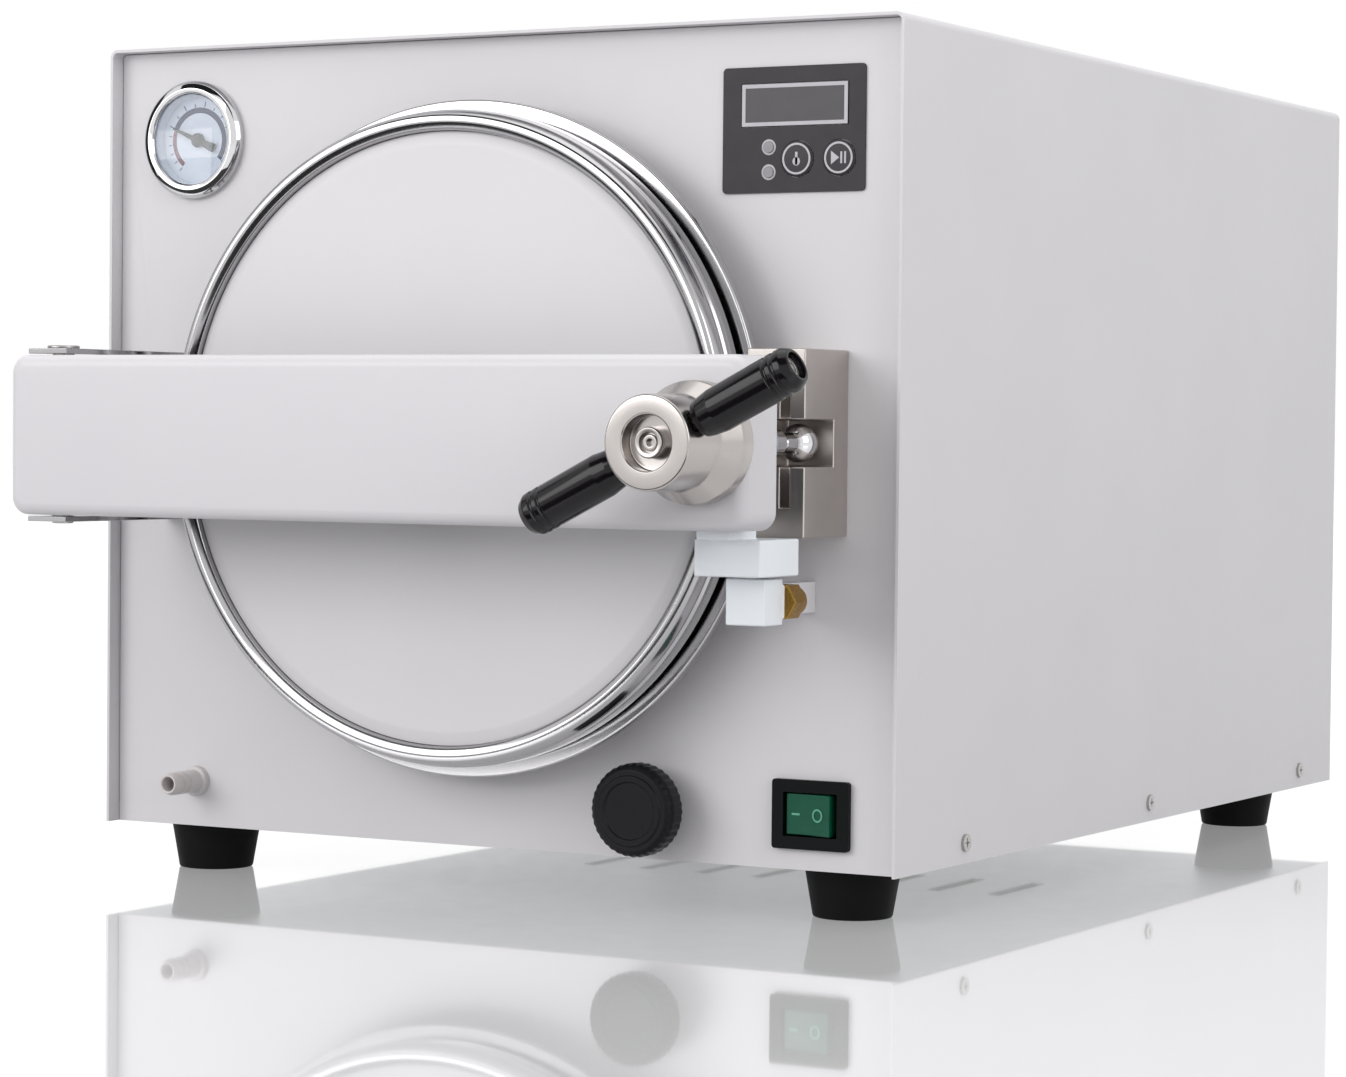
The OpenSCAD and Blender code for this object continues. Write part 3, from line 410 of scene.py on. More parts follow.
def shade(obj, angle=35.0):
    """Smooth shading, with edges sharper than the angle kept crisp."""
    for face in obj.data.polygons:
        face.use_smooth = True
    work = bmesh.new()
    work.from_mesh(obj.data)
    for e in work.edges:
        if len(e.link_faces) == 2:
            e.smooth = e.calc_face_angle(0.0) < math.radians(angle)
    work.to_mesh(obj.data)
    work.free()


FLAT_WITHIN = math.radians(0.6)
BEND_FROM = math.radians(32.0)


def eased(node, width_mm):
    work = bmesh.new()
    work.from_mesh(NODES[node].data)
    bmesh.ops.remove_doubles(work, verts=work.verts, dist=1e-6)
    bmesh.ops.dissolve_limit(work, angle_limit=FLAT_WITHIN, verts=work.verts, edges=work.edges)
    obj = new_object(node + "_eased", work)
    bevel = obj.modifiers.new("edge", "BEVEL")
    bevel.width = width_mm * MM
    bevel.segments = 2
    bevel.limit_method = "ANGLE"
    bevel.angle_limit = BEND_FROM
    bevel.use_clamp_overlap = True
    bevel.harden_normals = True
    shade(obj)
    settle(obj, node, FINISH[slot_of[node]])
    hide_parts(node)
    return obj


EASED = {
    "cover_shell": 0.5, "front_panel": 0.4, "rear_panel": 0.4, "latch_bracket": 0.7,
    "hinge_bracket": 0.7, "interlock_striker": 0.8, "rocker_housing": 0.8,
    "control_bezel": 0.25, "rubber_feet": 0.9, "bolt_collar": 0.5, "power_inlet": 0.6,
    "case_screws": 0.3, "display_window": 0.2, "hinge_pin": 0.6, "safety_valve": 0.5,
    "safety_pull": 0.6, "tray_rack": 0.3, "thrust_washer": 0.3, "foot_screws": 0.3,
}
for name, width in EASED.items():
    piece = eased(name, width)
    print(name, len(piece.data.polygons), "faces")

# %% [markdown]
# ## Turned pieces
# Everything round on this machine was turned, spun or moulded round. `turned`
# sweeps one profile about an axis. A profile is a short list of corners, each
# with its own rounding radius, given as (radius, depth, rounding) in
# millimetres, where depth runs back from the piece's front.


# %% Lathe
def soften(corners, steps=5):
    """Corner points with arcs in place of the corners that ask for one."""
    points = []
    for i, (x, y, r) in enumerate(corners):
        here = Vector((x, y))
        if r <= 0 or i in (0, len(corners) - 1):
            points.append(here)
            continue
        before = Vector(corners[i - 1][:2]) - here
        after = Vector(corners[i + 1][:2]) - here
        half = before.angle(after) / 2
        reach = min(r / math.tan(half), before.length * 0.49, after.length * 0.49)
        a = here + before.normalized() * reach
        b = here + after.normalized() * reach
        for k in range(steps + 1):
            t = k / steps
            points.append(a * (1 - t) ** 2 + here * 2 * t * (1 - t) + b * t ** 2)
    return points


def piece_from(name, work, at, material, node, stands_for, sharp):
    """A finished piece from a mesh, placed at a point or baked through a matrix."""
    bmesh.ops.recalc_face_normals(work, faces=work.faces)
    if isinstance(at, Matrix):
        bmesh.ops.transform(work, matrix=at, verts=work.verts)
        at = None
    obj = new_object(name, work, at)
    shade(obj, sharp)
    settle(obj, node, material)
    if stands_for:
        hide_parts(*stands_for)
    return obj


def turned(name, corners, at, material, node, segments=192, stands_for=(), sharp=40.0):
    work = bmesh.new()
    angles = [2 * math.pi * k / segments for k in range(segments)]
    rings = []
    for r, y in (point * MM for point in soften(corners)):
        if r < 1e-7:
            rings.append([work.verts.new((0, y, 0))])
        else:
            rings.append([work.verts.new((r * math.cos(a), y, r * math.sin(a))) for a in angles])
    for one, two in zip(rings, rings[1:]):
        for k in range(segments):
            loop = [one[k % len(one)], one[(k + 1) % len(one)], two[(k + 1) % len(two)], two[k % len(two)]]
            corner = list(dict.fromkeys(loop))
            if len(corner) > 2:
                work.faces.new(corner)
    return piece_from(name, work, at, material, node, stands_for, sharp)


print("lathe ready:", len(soften([(0, 0, 0), (5, 0, 1), (5, 5, 0)])), "points from three corners")

# %% [markdown]
# The rim is one spun ring. Its front is a full round bead, behind it a step and
# a plain skirt run back to the seal. The flange behind it is thicker and wider,
# with a narrow polished face that shows past the rim as a second bright ring.

# %% Door rim, door disc and flange
BEAD = 10.0
rim_r = size_mm("door_rim").x / 2
rim_len = size_mm("door_rim").y
rim_profile = [(rim_r - BEAD, 7.5, 0), (rim_r - BEAD, 1.6, 2.5), (rim_r - 6.2, 0, 4.0),
               (rim_r - 2.6, 0.3, 3.5), (rim_r - 0.6, 6.0, 3.0), (rim_r - 1.2, 8.2, 0.8),
               (rim_r, 9.4, 0.8), (rim_r, rim_len, 0.8), (rim_r - 4.6, rim_len, 0)]
turned("door_rim_spun", rim_profile, front("door_rim"), polished, "door_rim", 256, ["door_rim"])

disc_r = size_mm("door_disc").x / 2
disc_profile = [(0, 0, 0), (disc_r - 6, 0.0, 8.0), (disc_r, 1.3, 0.6), (disc_r, 3.0, 0)]
turned("door_disc_pressed", disc_profile, front("door_disc"), door_coat, "door_disc", 256, ["door_disc"])

FLANGE_T = 6.0
FLANGE_LEDGE = 17.5
RACK_TO_BORE = 37.0
flange_r = size_mm("chamber_flange").x / 2
flange_len = size_mm("chamber_flange").y
bore_r = size_mm("tray_rack").x / 2 + RACK_TO_BORE
neck_r = flange_r - FLANGE_LEDGE
flange_profile = [(bore_r, flange_len, 0), (bore_r, 0, 1.0), (flange_r, 0, 1.2), (flange_r, FLANGE_T, 1.2),
                  (neck_r, FLANGE_T, 1.5), (neck_r, flange_len, 0)]
turned("chamber_flange_turned", flange_profile, front("chamber_flange"), polished, "chamber_flange", 256,
       ["chamber_flange"])
print("rim radius", round(rim_r, 1), "flange radius", round(flange_r, 1))

# %% [markdown]
# ## Beam cover
# The cover over the beam is folded and welded sheet with every corner rounded
# and painted thick, so its front edge rolls over in a wide soft curve. It is
# lofted from rounded rectangles that shrink along that curve, and it is hollow
# behind, where the steel beam lies.


# %% Loft
def rounded_rectangle(width, height, radius, steps=8):
    loop = []
    for cx, cz, first in ((1, 1, 0), (-1, 1, 90), (-1, -1, 180), (1, -1, 270)):
        for k in range(steps + 1):
            a = math.radians(first + 90 * k / steps)
            loop.append((cx * (width / 2 - radius) + radius * math.cos(a),
                         cz * (height / 2 - radius) + radius * math.sin(a)))
    return loop


def lofted(name, sections, at, material, node, stands_for=(), sharp=35.0):
    """Skin over loops in the x-z plane; each section is (loop, depth), in millimetres."""
    work = bmesh.new()
    rings = [[work.verts.new((x * MM, y * MM, z * MM)) for x, z in loop] for loop, y in sections]
    count = len(rings[0])
    for one, two in zip(rings, rings[1:]):
        for k in range(count):
            work.faces.new((one[k], one[(k + 1) % count], two[(k + 1) % count], two[k]))
    work.faces.new(rings[0])
    work.faces.new(list(reversed(rings[-1])))
    return piece_from(name, work, at, material, node, stands_for, sharp)


WALL = 2.0
EDGE_R = 5.5
CORNER_R = 8.0
EDGE_STEPS = 8
HEM = 0.4
SCREW_HEAD = 1.2
beam = size_mm("beam_cover")
beam_h = beam.z - 2 * SCREW_HEAD
sections = []
for k in range(EDGE_STEPS + 1):
    a = math.radians(90 * k / EDGE_STEPS)
    inset = EDGE_R * (1 - math.sin(a))
    depth = EDGE_R * (1 - math.cos(a))
    loop = rounded_rectangle(beam.x - 2 * inset, beam_h - 2 * inset, CORNER_R - inset * 0.6)
    sections.append((loop, depth))
outer = rounded_rectangle(beam.x, beam_h, CORNER_R)
hem = rounded_rectangle(beam.x - 2 * HEM, beam_h - 2 * HEM, CORNER_R)
inner = rounded_rectangle(beam.x - 2 * WALL, beam_h - 2 * WALL, CORNER_R - WALL)
sections += [(outer, beam.y - HEM), (hem, beam.y), (inner, beam.y), (inner, WALL)]
lofted("beam_cover_folded", sections, front("beam_cover"), beam_coat, "beam_cover", ["beam_cover"])
print("beam cover", [round(v, 1) for v in beam])

# %% [markdown]
# ## Hub, grips and bolt
# The hub is turned from bar: a broad base, a waist that tapers to a plain nose,
# and a recess in the nose that holds the end screw.

# %% Hub and its screw
hub = size_mm("handle_hub")
hub_base = hub.x / 2
NOSE_R = 20.0
BOLT_BORE_R = 7.0
FLARE = 19.0
BASE_LEN = 9.0
RECESS_R = 11.6
RECESS = 7.0
hub_profile = [(0, RECESS, 0), (RECESS_R, RECESS, 0.6), (RECESS_R, 0.5, 0.4), (RECESS_R + 0.6, 0, 0.4),
               (NOSE_R - 0.1, 0, 1.2), (NOSE_R, hub.y - FLARE, 4.0), (hub_base - 0.3, hub.y - BASE_LEN, 2.0),
               (hub_base, hub.y - BASE_LEN + 1.5, 0.8), (hub_base, hub.y - 0.6, 0.8),
               (hub_base - 2, hub.y, 0.5), (BOLT_BORE_R, hub.y, 0)]
turned("handle_hub_turned", hub_profile, front("handle_hub"), hub_metal, "handle_hub", 160, ["handle_hub"])
screw_profile = [(0, 3.6, 0), (1.6, 3.6, 0), (1.6, 1.4, 0.3), (3.2, 1.4, 0.3), (3.3, 2.8, 0.2),
                 (4.3, 2.8, 0.2), (4.4, 0.2, 0.3), (6.2, 0.0, 0.6), (6.5, 0.8, 0.4), (6.5, 6.9, 0)]
turned("hub_screw_turned", screw_profile, front("hub_screw"), hub_metal, "hub_screw", 96, ["hub_screw"])
print("hub", [round(v, 1) for v in hub])

# %% [markdown]
# A grip is a moulded sleeve on a steel stud. Two grooves near its end let the
# mould release, and the stud's slotted end sits in a shallow recess. The two
# grips lie on one line through the hub, 27 degrees from level.

# %% Grips
GRIP_TILT = math.radians(27.0)
GRIP_START = 21.0
GRIP_END = 70.0
GRIP_R = 9.5
grip_centre = middle("grip_studs")


def along_grip(side):
    """Turns a piece's own y axis to run outwards along a grip."""
    direction = Vector((side * math.cos(GRIP_TILT), 0, side * math.sin(GRIP_TILT)))
    across = Vector((0, 1, 0))
    turn = Matrix((across.cross(direction) * -1, direction, across)).transposed()
    return Matrix.Translation(grip_centre) @ turn.to_4x4()


GROOVE = 0.8
STUD_R = 4.2


def grip_groove(start, width, lead):
    """A shallow groove round the grip; lead is the rounding of its first edge."""
    return [(GRIP_R, start, lead), (GRIP_R - GROOVE, start + 0.6, 0.3),
            (GRIP_R - GROOVE, start + width - 0.6, 0.3), (GRIP_R, start + width, 0.4)]


grip_profile = [(STUD_R, GRIP_START, 0), (7.8, GRIP_START, 0.8), (8.6, GRIP_START + 3.0, 1.5),
                (GRIP_R, GRIP_START + 9.0, 4.0), *grip_groove(GRIP_END - 12.0, 1.8, 0.4),
                *grip_groove(GRIP_END - 8.2, 2.0, 0.3), (GRIP_R - 0.1, GRIP_END - 3.4, 2.0),
                (7.4, GRIP_END, 1.2), (5.9, GRIP_END, 0.4), (5.5, GRIP_END - 3.6, 0.3),
                (STUD_R, GRIP_END - 3.6, 0)]
stud_profile = [(0, GRIP_END - 3.0, 0), (2.2, GRIP_END - 3.0, 0), (2.4, GRIP_END - 2.2, 0.2),
                (4.4, GRIP_END - 2.3, 0.5), (5.0, GRIP_END - 3.0, 0.3), (5.0, GRIP_END - 4.0, 0.2),
                (4.0, GRIP_END - 4.0, 0), (4.0, 9.6, 0.3), (0, 9.6, 0)]
for side, word in ((1, "right"), (-1, "left")):
    grip = turned(f"grip_{word}", grip_profile, along_grip(side), grip_resin, "handle_grips", 96)
    stud = turned(f"grip_stud_{word}", stud_profile, along_grip(side), screw_zinc, "grip_studs", 64)
    if side > 0:
        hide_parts("handle_grips")
        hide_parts("grip_studs")
print("grips run out to", GRIP_END, "mm")

# %% [markdown]
# The clamp bolt ends in a polished ball. Its neck is waisted just in front of
# the ball, where the bracket's notch takes hold.

# %% Clamp bolt
bolt = size_mm("clamp_bolt")
ball_r = bolt.x / 2
ball_at = bolt.y - ball_r
SHANK_R = 5.9
WAIST_R = 4.6
WAIST_LEN = 18.0
bolt_profile = [(0, 0, 0), (4.8, 0, 0), (SHANK_R, 1.1, 0.3), (SHANK_R, ball_at - WAIST_LEN - 4.0, 0.5),
                (WAIST_R, ball_at - WAIST_LEN, 2.0), (WAIST_R, ball_at - 8.2, 0)]
for a in range(33, 181, 7):
    angle = math.radians(a)
    bolt_profile.append((ball_r * math.sin(angle), ball_at - ball_r * math.cos(angle), 0))
bolt_profile.append((0, bolt.y, 0))
turned("clamp_bolt_turned", bolt_profile, front("clamp_bolt"), chrome, "clamp_bolt", 96, ["clamp_bolt"])
print("ball radius", round(ball_r, 1), "at", round(ball_at, 1), "mm along the bolt")

# %% [markdown]
# ## Gauge
# A chrome ring is spun over the case. Inside it a sloping collar leads down to
# the dial, so the dial lies well below the ring. The print is two arcs that
# meet at zero, at half past nine: blue for pressure, red for vacuum, with ticks.

# %% Gauge ring and glass
RING_W = 5.7
GLASS_T = 1.5
gauge = size_mm("gauge_bezel")
ring_r = gauge.x / 2
glass_r = ring_r - RING_W
ring_profile = [(glass_r, 2.2, 0), (glass_r - 1.2, 1.8, 0.4), (glass_r - 0.4, 0.4, 0.8),
                (glass_r + 1.6, 0, 1.2), (ring_r - 1.4, 1.0, 2.0), (ring_r, 3.0, 1.0), (ring_r, gauge.y, 0)]
turned("gauge_ring_spun", ring_profile, front("gauge_bezel"), chrome, "gauge_bezel", 160, ["gauge_bezel"])
collar_profile = [(glass_r - 0.3, 3.8, 0), (glass_r - 0.3, 4.2, 0.2), (glass_r - 2.2, 8.8, 0)]
turned("gauge_dial_collar", collar_profile, front("gauge_bezel"), dial_enamel, "gauge_dial", 128)
lens_profile = [(0, 0, 0), (glass_r - 0.4, 0, 0.2), (glass_r - 0.4, GLASS_T, 0.2), (0, GLASS_T, 0)]
turned("gauge_glass_cut", lens_profile, front("gauge_lens"), gauge_glass, "gauge_lens", 128,
       ["gauge_lens"])
print("gauge ring radius", round(ring_r, 1))


# %% [markdown]
# Printed marks are real, very thin pieces lying on the face they are printed
# on. One function lays a flat shape, another an arc.


# %% Printed marks
def flat_mark(name, loops, y, centre, material, node, thick=0.06):
    """Thin plates in the x-z plane with their backs at depth y, from outlines in millimetres."""
    work = bmesh.new()
    for loop in loops:
        face = work.faces.new([work.verts.new((x * MM, 0, z * MM)) for x, z in loop])
        made = bmesh.ops.extrude_face_region(work, geom=[face])
        moved = [v for v in made["geom"] if isinstance(v, bmesh.types.BMVert)]
        bmesh.ops.translate(work, verts=moved, vec=(0, -thick * MM, 0))
    bmesh.ops.recalc_face_normals(work, faces=work.faces)
    obj = new_object(name, work, Vector((centre.x, y, centre.z)))
    settle(obj, node, material)
    return obj


def strip(radius_in, radius_out, start_deg, end_deg, steps=None):
    """Outline of an arc-shaped strip, with angles from the right-hand side upwards."""
    count = steps or max(2, int(abs(end_deg - start_deg) / 4))
    angles = [math.radians(start_deg + (end_deg - start_deg) * k / count) for k in range(count + 1)]
    outside = [(radius_out * math.cos(a), radius_out * math.sin(a)) for a in angles]
    inside = [(radius_in * math.cos(a), radius_in * math.sin(a)) for a in reversed(angles)]
    return outside + inside


def ring_pieces(radius_in, radius_out, parts=24):
    step = 360 / parts
    return [strip(radius_in, radius_out, k * step, (k + 1) * step, 2) for k in range(parts)]


def bar(x0, z0, x1, z1):
    return [(x0, z0), (x1, z0), (x1, z1), (x0, z1)]


def frame_bars(cx, cz, width, height, line):
    w, h = width / 2, height / 2
    return [bar(cx - w, cz + h - line, cx + w, cz + h), bar(cx - w, cz - h, cx + w, cz - h + line),
            bar(cx - w, cz - h + line, cx - w + line, cz + h - line),
            bar(cx + w - line, cz - h + line, cx + w, cz + h - line)]


ZERO = 157
FULL = -38
VACUUM = 232
PRESSURE_TICKS = 10
VACUUM_TICKS = 5
TICK_HALF = 0.8
dial_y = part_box("gauge_dial")[0].y
dial_centre = middle("gauge_dial")


def tick(angle, length):
    return strip(16.0, 16.0 + length, angle - TICK_HALF, angle + TICK_HALF, 2)


pressure_ticks = [tick(ZERO + (FULL - ZERO) * k / PRESSURE_TICKS, 1.4 if k % 2 else 2.6)
                  for k in range(PRESSURE_TICKS + 1)]
vacuum_ticks = [tick(ZERO + (VACUUM - ZERO) * k / VACUUM_TICKS, 1.8) for k in range(1, VACUUM_TICKS + 1)]
for name, loops, ink in (
    ("dial_pressure_arc", [strip(13.0, 15.6, ZERO, FULL, 60)], navy_ink),
    ("dial_vacuum_arc", [strip(13.2, 15.4, ZERO + 1, VACUUM, 24)], red_ink),
    ("dial_pressure_ticks", pressure_ticks, navy_ink),
    ("dial_vacuum_ticks", vacuum_ticks, red_ink),
):
    flat_mark(name, loops, dial_y, dial_centre, ink, "gauge_dial")
print("dial marks lie at y", round(dial_y, 4))

# %% [markdown]
# The needle is a stamped sliver with a heavy tail, on a small hub. It rides on
# its own joint, so it is rebuilt about the spindle.

# %% Needle
NEEDLE_T = 0.7
NEEDLE_BACK = 1.1 * MM
needle_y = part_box("gauge_needle")[0].y
boss_profile = [(0, 0, 0), (2.6, 0, 0.4), (3.4, 0.7, 0.4), (3.4, 1.8, 0)]
turned("needle_hub", boss_profile, Vector((dial_centre.x, needle_y, dial_centre.z)), black_ink,
       "gauge_needle", 64)
cos_z, sin_z = math.cos(math.radians(ZERO)), math.sin(math.radians(ZERO))
blade = [(-10.5, -2.1), (-10.5, 2.1), (-2.0, 1.4), (15.0, 0.45), (15.0, -0.45), (-2.0, -1.4)]
blade = [(x * cos_z - z * sin_z, x * sin_z + z * cos_z) for x, z in blade]
needle = flat_mark("needle_blade", [blade], needle_y + NEEDLE_BACK, dial_centre, black_ink,
                   "gauge_needle", NEEDLE_T)
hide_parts("gauge_needle")
print("needle points at", ZERO, "degrees")

# %% [markdown]
# ## Control field
# The field is a printed film over a shallow recess: a pale frame round the
# display, two lamps with pale rings, and two keys ringed in the same ink. The
# keys carry plain marks: a drop, and a triangle beside two short strokes.

# %% Control field
FRAME_LINE = 1.7
LED_R = 3.0 * MM
PROUD = 0.03 * MM
field_centre = middle("control_bezel")
window = middle("display_window")
window_size = size_mm("display_window")
frame_lines = frame_bars((window.x - field_centre.x) / MM, (window.z - field_centre.z) / MM,
                         window_size.x - 0.4, window_size.z - 0.4, FRAME_LINE)
flat_mark("print_window_frame", frame_lines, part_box("display_window")[0].y, field_centre, print_ink,
          "control_bezel")

led_low, led_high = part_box("status_leds")
field_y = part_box("control_bezel")[0].y
led_profile = [(0, 0, 0), (1.5, 0.1, 0.5), (2.2, 0.8, 0.3), (2.2, 1.8, 0)]
for name, z in (("upper", led_high.z - LED_R), ("lower", led_low.z + LED_R)):
    at = Vector((middle("status_leds").x, led_low.y - 0.05 * MM, z))
    turned(f"lamp_{name}", led_profile, at, lamp_lens, "status_leds", 48)
    flat_mark(f"print_lamp_ring_{name}", ring_pieces(2.6, 3.5), field_y, Vector((at.x, 0, z)),
              print_ink, "control_bezel")

for name in ("button_left", "button_right"):
    face_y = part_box(name)[0].y
    key_r = size_mm(name).x / 2
    key_profile = [(0, 0, 0), (key_r - 1.5, 0.15, 0.8), (key_r, 0.6, 0.2), (key_r, 1.2, 0)]
    key = turned(f"{name}_domed", key_profile, front(name), key_film, name, 96)
    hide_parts(name)
    flat_mark(f"print_ring_{name}", ring_pieces(key_r - 1.9, key_r - 1.0, 36), face_y + 0.12 * MM,
              middle(name), print_ink, name, 0.12)

drop = [bar(-0.6, -2.7, 0.6, 3.0)]
for k in range(6):
    wedge = strip(0.0, 1.9, k * 60, (k + 1) * 60, 2)[:3] + [(0, 0)]
    drop.append([(x, z - 1.2) for x, z in wedge])
strokes = [[(-3.6, 3.0), (-3.6, -3.0), (0.4, 0.0)], bar(1.0, -2.6, 1.9, 2.6), bar(2.9, -2.6, 3.8, 2.6)]
for side, loops in (("left", drop), ("right", strokes)):
    node = f"button_{side}"
    flat_mark(f"print_mark_{side}", loops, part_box(node)[0].y + PROUD, middle(node), print_ink, node, 0.1)
print("control field at", [round(v, 4) for v in field_centre])

# %% [markdown]
# ## Rocker, knob, spigot and brass fitting
# The rocker is a shallow dished block, tilted at rest. Its marks are the
# standard bar and ring. The knob has a fluted edge and a raised ring on its
# face, and the spigot has two shallow grooves that grip a hose.

# %% Rocker marks
TILT = math.radians(-9)
PIVOT_BEHIND = 3.5 * MM
FACE_TO_PIVOT = 5.8 * MM
WING_X = 5.9
WING_DISH = math.atan2(-1.4, 11.8)
rocker_mid = middle("rocker")
rocker_pivot = Vector((rocker_mid.x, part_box("front_panel")[0].y + PIVOT_BEHIND, rocker_mid.z))
eased("rocker", 0.5)


def on_rocker(name, loops, offset_x, dish):
    """A mark on one wing of the dished rocker, turned with it."""
    obj = flat_mark(name, loops, 0, Vector((0, 0, 0)), mark_ink, "rocker", 0.1)
    wing = Matrix.Translation((offset_x * MM, -FACE_TO_PIVOT, 0)) @ Matrix.Rotation(dish, 4, "Z")
    obj.matrix_world = Matrix.Translation(rocker_pivot) @ Matrix.Rotation(TILT, 4, "Z") @ wing
    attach(obj, body_of["rocker"])


on_rocker("rocker_bar_mark", [bar(-2.0, -0.45, 2.0, 0.45)], -WING_X, -WING_DISH)
on_rocker("rocker_ring_mark", ring_pieces(2.2, 3.0), WING_X, WING_DISH)
print("rocker", [round(v, 1) for v in size_mm("rocker")])

# %% Valve knob
KNOB_LEN = 13.0
FLUTES = 36
FLUTE_DEPTH = 0.018
STEM_R = 3.2
knob_r = size_mm("valve_knob").x / 2
knob_profile = [(0, 0.9, 0), (knob_r - 8.6, 0.9, 0.5), (knob_r - 8.0, 0.1, 0.5), (knob_r - 5.6, 0.1, 0.5),
                (knob_r - 5.0, 0.9, 0.5), (knob_r - 3.0, 0.9, 1.2), (knob_r - 0.8, 2.2, 1.6),
                (knob_r, 4.6, 1.2), (knob_r, KNOB_LEN - 1, 0.8), (knob_r - 1.5, KNOB_LEN, 0.5),
                (14.0, KNOB_LEN, 0.4), (13.6, 24.5, 0.3), (STEM_R, 24.6, 0)]
knob_piece = turned("valve_knob_moulded", knob_profile, front("valve_knob"), knob_resin, "valve_knob",
                    FLUTES * 8, ["valve_knob"])
for v in knob_piece.data.vertices:
    if math.hypot(v.co.x, v.co.z) > (knob_r - 2.2) * MM and v.co.y < (KNOB_LEN - 0.3) * MM:
        wave = 0.5 - 0.5 * math.cos(FLUTES * math.atan2(v.co.z, v.co.x))
        v.co.x *= 1 - FLUTE_DEPTH * wave
        v.co.z *= 1 - FLUTE_DEPTH * wave
print("knob radius", round(knob_r, 1), "with", FLUTES, "flutes")

# %% Drain spigot
SPIGOT_R = 5.5
SPIGOT_LEN = 24.0
HOSE_GROOVE = 0.5


def hose_groove(start):
    return [(SPIGOT_R, start, 0.2), (SPIGOT_R - HOSE_GROOVE, start + 0.3, 0.2),
            (SPIGOT_R - HOSE_GROOVE, start + 1.3, 0.2), (SPIGOT_R, start + 1.6, 0.2)]


spigot_profile = [(3.5, 12.0, 0), (3.5, 0.3, 0.4), (SPIGOT_R - 1, 0, 0.6), (SPIGOT_R, 3.0, 0.6),
                  *hose_groove(6.0), *hose_groove(11.0), (SPIGOT_R, SPIGOT_LEN - 3.4, 0.6),
                  (SPIGOT_R + 1.8, SPIGOT_LEN - 3.0, 0.6), (SPIGOT_R + 2.0, SPIGOT_LEN, 0)]
turned("drain_spigot_moulded", spigot_profile, front("drain_spigot"), spigot_nylon, "drain_spigot", 96,
       ["drain_spigot"])
print("spigot", [round(v, 1) for v in size_mm("drain_spigot")])

# %% [markdown]
# The lower interlock block hangs on a brass fitting screwed through the panel.
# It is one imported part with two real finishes, so the piece gives its faces the
# finish by where they lie: the brass plug lies behind the block, beside its arm,
# which is painted with the panel.

# %% Interlock guide and its brass fitting
BLOCK_DEPTH = 17.0
ARM_W = 9.5
PLUG_X = 17.0
PLUG_R = 8.4
PLUG_LEN = 12.0
guide = eased("interlock_guide", 0.7)
guide.data.materials.append(brass)
guide.data.materials.append(panel_coat)
guide_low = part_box("interlock_guide")[0]
for face in guide.data.polygons:
    if face.center.y > guide_low.y + (BLOCK_DEPTH + 0.2) * MM:
        face.material_index = 1 if face.center.x > guide_low.x + ARM_W * MM else 2
plug_at = guide_low + Vector((PLUG_X, BLOCK_DEPTH, size_mm("interlock_guide").z / 2)) * MM
plug_profile = [(0, 0, 0), (PLUG_R, 0, 0), (PLUG_R, PLUG_LEN - 1.5, 1.2), (PLUG_R - 1.2, PLUG_LEN, 0.6),
                (0, PLUG_LEN, 0)]
turned("interlock_plug_nut", plug_profile, plug_at, brass, "interlock_guide", 6, sharp=25.0)
cap_profile = [(0, 11.5, 0), (6.6, 11.5, 0), (6.6, 14.0, 1.5), (4.0, 17.0, 1.5), (0, 17.2, 0)]
turned("interlock_plug_cap", cap_profile, plug_at, brass, "interlock_guide", 64)
print("interlock guide faces", len(guide.data.polygons))

# %% [markdown]
# ## Stage
# A white floor under a clear coat, polished enough to mirror the object, and a
# white surround. The surround is white to the camera and in reflections. Three soft
# lamps and the surround's own light do the rest; three black cards, which only
# reflections see, give the chrome its dark lines.


# %% Floor and surround
def seen_by(tree, *rays):
    """One for the named kinds of ray and zero for the others."""
    path = add(tree, "ShaderNodeLightPath").outputs
    seen = path[rays[0]]
    for ray in rays[1:]:
        seen = add(tree, "ShaderNodeMath", {"operation": "MAXIMUM"}, _0=seen, _1=path[ray]).outputs[0]
    return seen


FLOOR_LIFT = 0.42
SURROUND = 0.84
floor_mesh = bmesh.new()
bmesh.ops.create_grid(floor_mesh, x_segments=1, y_segments=1, size=12)
floor = new_object("floor", floor_mesh, Vector((0, 0, CAD_BOX[0].z - 0.0002)))
floor_white, tree, shader = start("polished_white_acrylic", "#b4b4b6", 0.05, IOR=1.45,
                                  Coat_Weight=0.85, Coat_Roughness=0.03)
shader.inputs["Emission Color"].default_value = (1, 1, 1, 1)
lift = between(tree, seen_by(tree, "Is Camera Ray", "Is Glossy Ray"), 0.0, FLOOR_LIFT)
feed(tree, shader.inputs["Emission Strength"], lift)
floor.data.materials.append(floor_white)

world = bpy.data.worlds.new("studio")
bpy.context.scene.world = world
world.use_nodes = True
tree = world.node_tree
seen = seen_by(tree, "Is Camera Ray", "Is Glossy Ray", "Is Transmission Ray")
feed(tree, tree.nodes["Background"].inputs["Strength"], between(tree, seen, SURROUND, 1.0))
tree.nodes["Background"].inputs["Color"].default_value = (1, 1, 1, 1)
print("floor and surround ready")


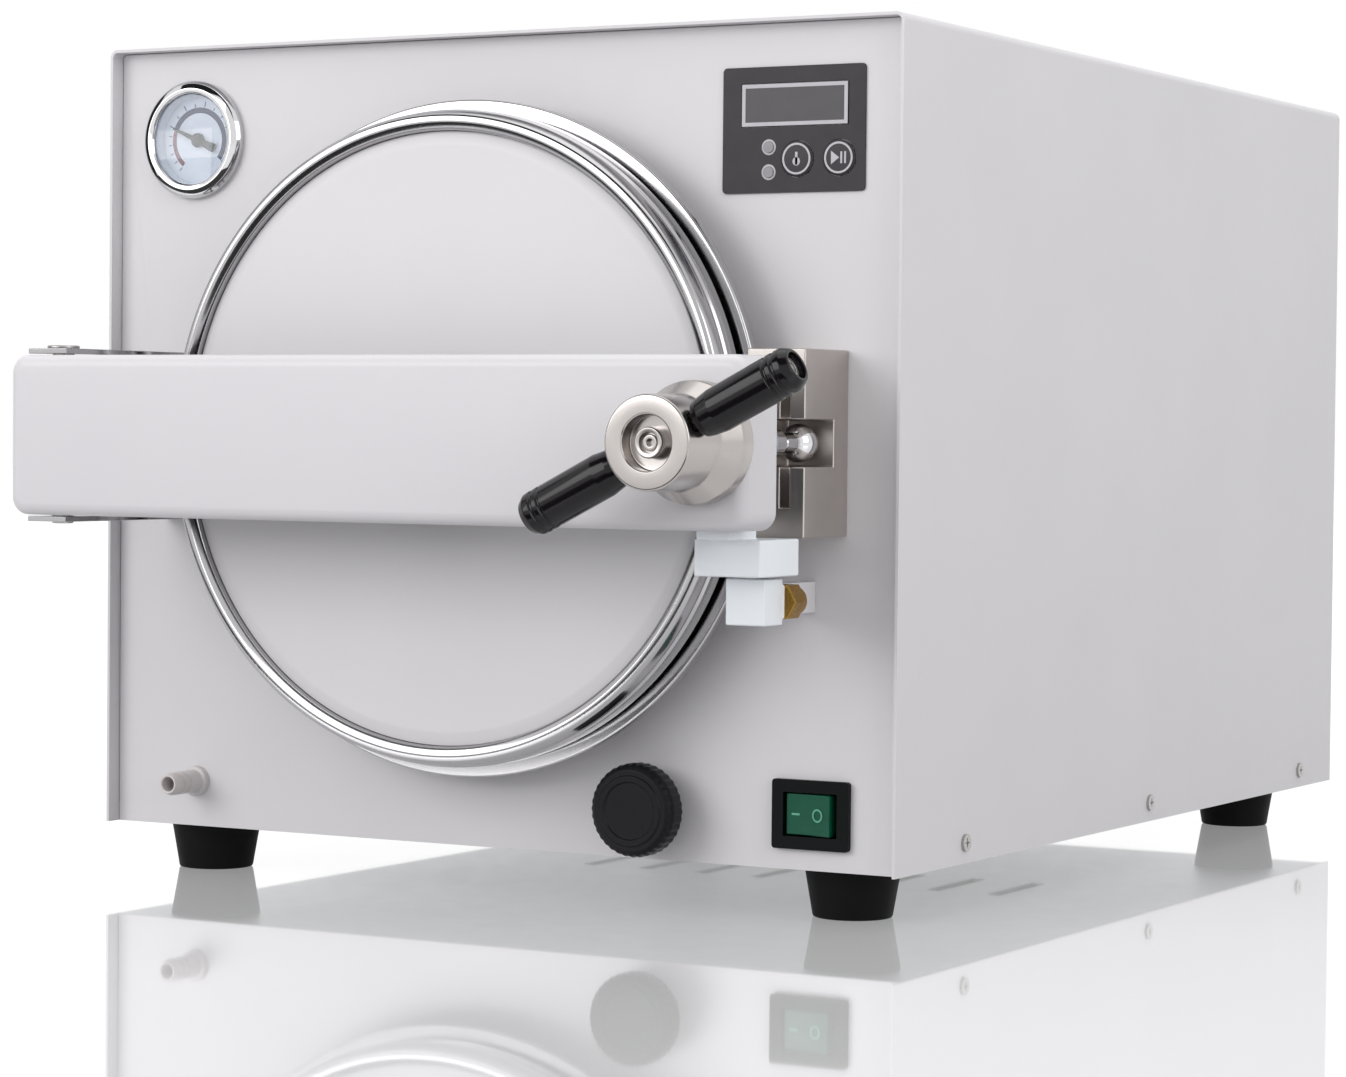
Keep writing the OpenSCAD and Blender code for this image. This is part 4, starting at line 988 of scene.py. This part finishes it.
# %% Lamps and cards
def lamp(name, place_at, aim, power, width, height):
    data = bpy.data.lights.new(name, "AREA")
    data.shape = "RECTANGLE"
    data.size = width
    data.size_y = height
    data.energy = power
    obj = bpy.data.objects.new(name, data)
    bpy.context.collection.objects.link(obj)
    direction = (Vector(aim) - Vector(place_at)).normalized()
    turn = direction.to_track_quat("-Z", "Y").to_matrix().to_4x4()
    obj.matrix_world = Matrix.Translation(place_at) @ turn


def card(name, material, centre, half_width, half_height, facing):
    """A studio card that only reflections see, and only from its front."""
    work = bmesh.new()
    bmesh.ops.create_grid(work, x_segments=1, y_segments=1, size=1)
    turn = Vector(facing).normalized().to_track_quat("Z", "Y").to_matrix().to_4x4()
    spread = Matrix.Diagonal((half_width, half_height, 1, 1))
    obj = new_object(name, work, Matrix.Translation(centre) @ turn @ spread)
    obj.data.materials.append(material)
    obj.visible_camera = False
    obj.visible_diffuse = False
    obj.visible_shadow = False
    obj.visible_transmission = False


def card_stock(name, tone):
    """Card that is clear from behind."""
    material, tree, shader = start(name, tone, 0.9)
    clear = add(tree, "ShaderNodeBsdfTransparent")
    behind = add(tree, "ShaderNodeNewGeometry").outputs["Backfacing"]
    both = add(tree, "ShaderNodeMixShader", None, _0=behind, _1=shader.outputs[0], _2=clear.outputs[0])
    tree.links.new(both.outputs[0], tree.nodes["Material Output"].inputs["Surface"])
    return material


black_stock = card_stock("black_card", "#0b0b0c")
AIM = (0, 0, 0.2)
lamp("key_lamp", (-1.2, -2.4, 1.1), AIM, 24, 1.8, 1.4)
lamp("fill_lamp", (2.4, -0.9, 1.1), AIM, 13, 1.4, 1.4)
lamp("top_lamp", (0.1, 0.1, 2.2), AIM, 8, 1.8, 1.8)
card("card_above", black_stock, Vector((-0.2, -1.2, 1.55)), 1.3, 0.42, (0.1, 0.65, -0.75))
card("card_floor", black_stock, Vector((-0.5, -0.95, 0.003)), 1.1, 0.32, (0, 0, 1))
card("card_left", black_stock, Vector((-1.5, -0.55, 0.5)), 0.16, 0.8, (1, 0.35, 0))
bpy.context.scene.view_settings.view_transform = "Standard"
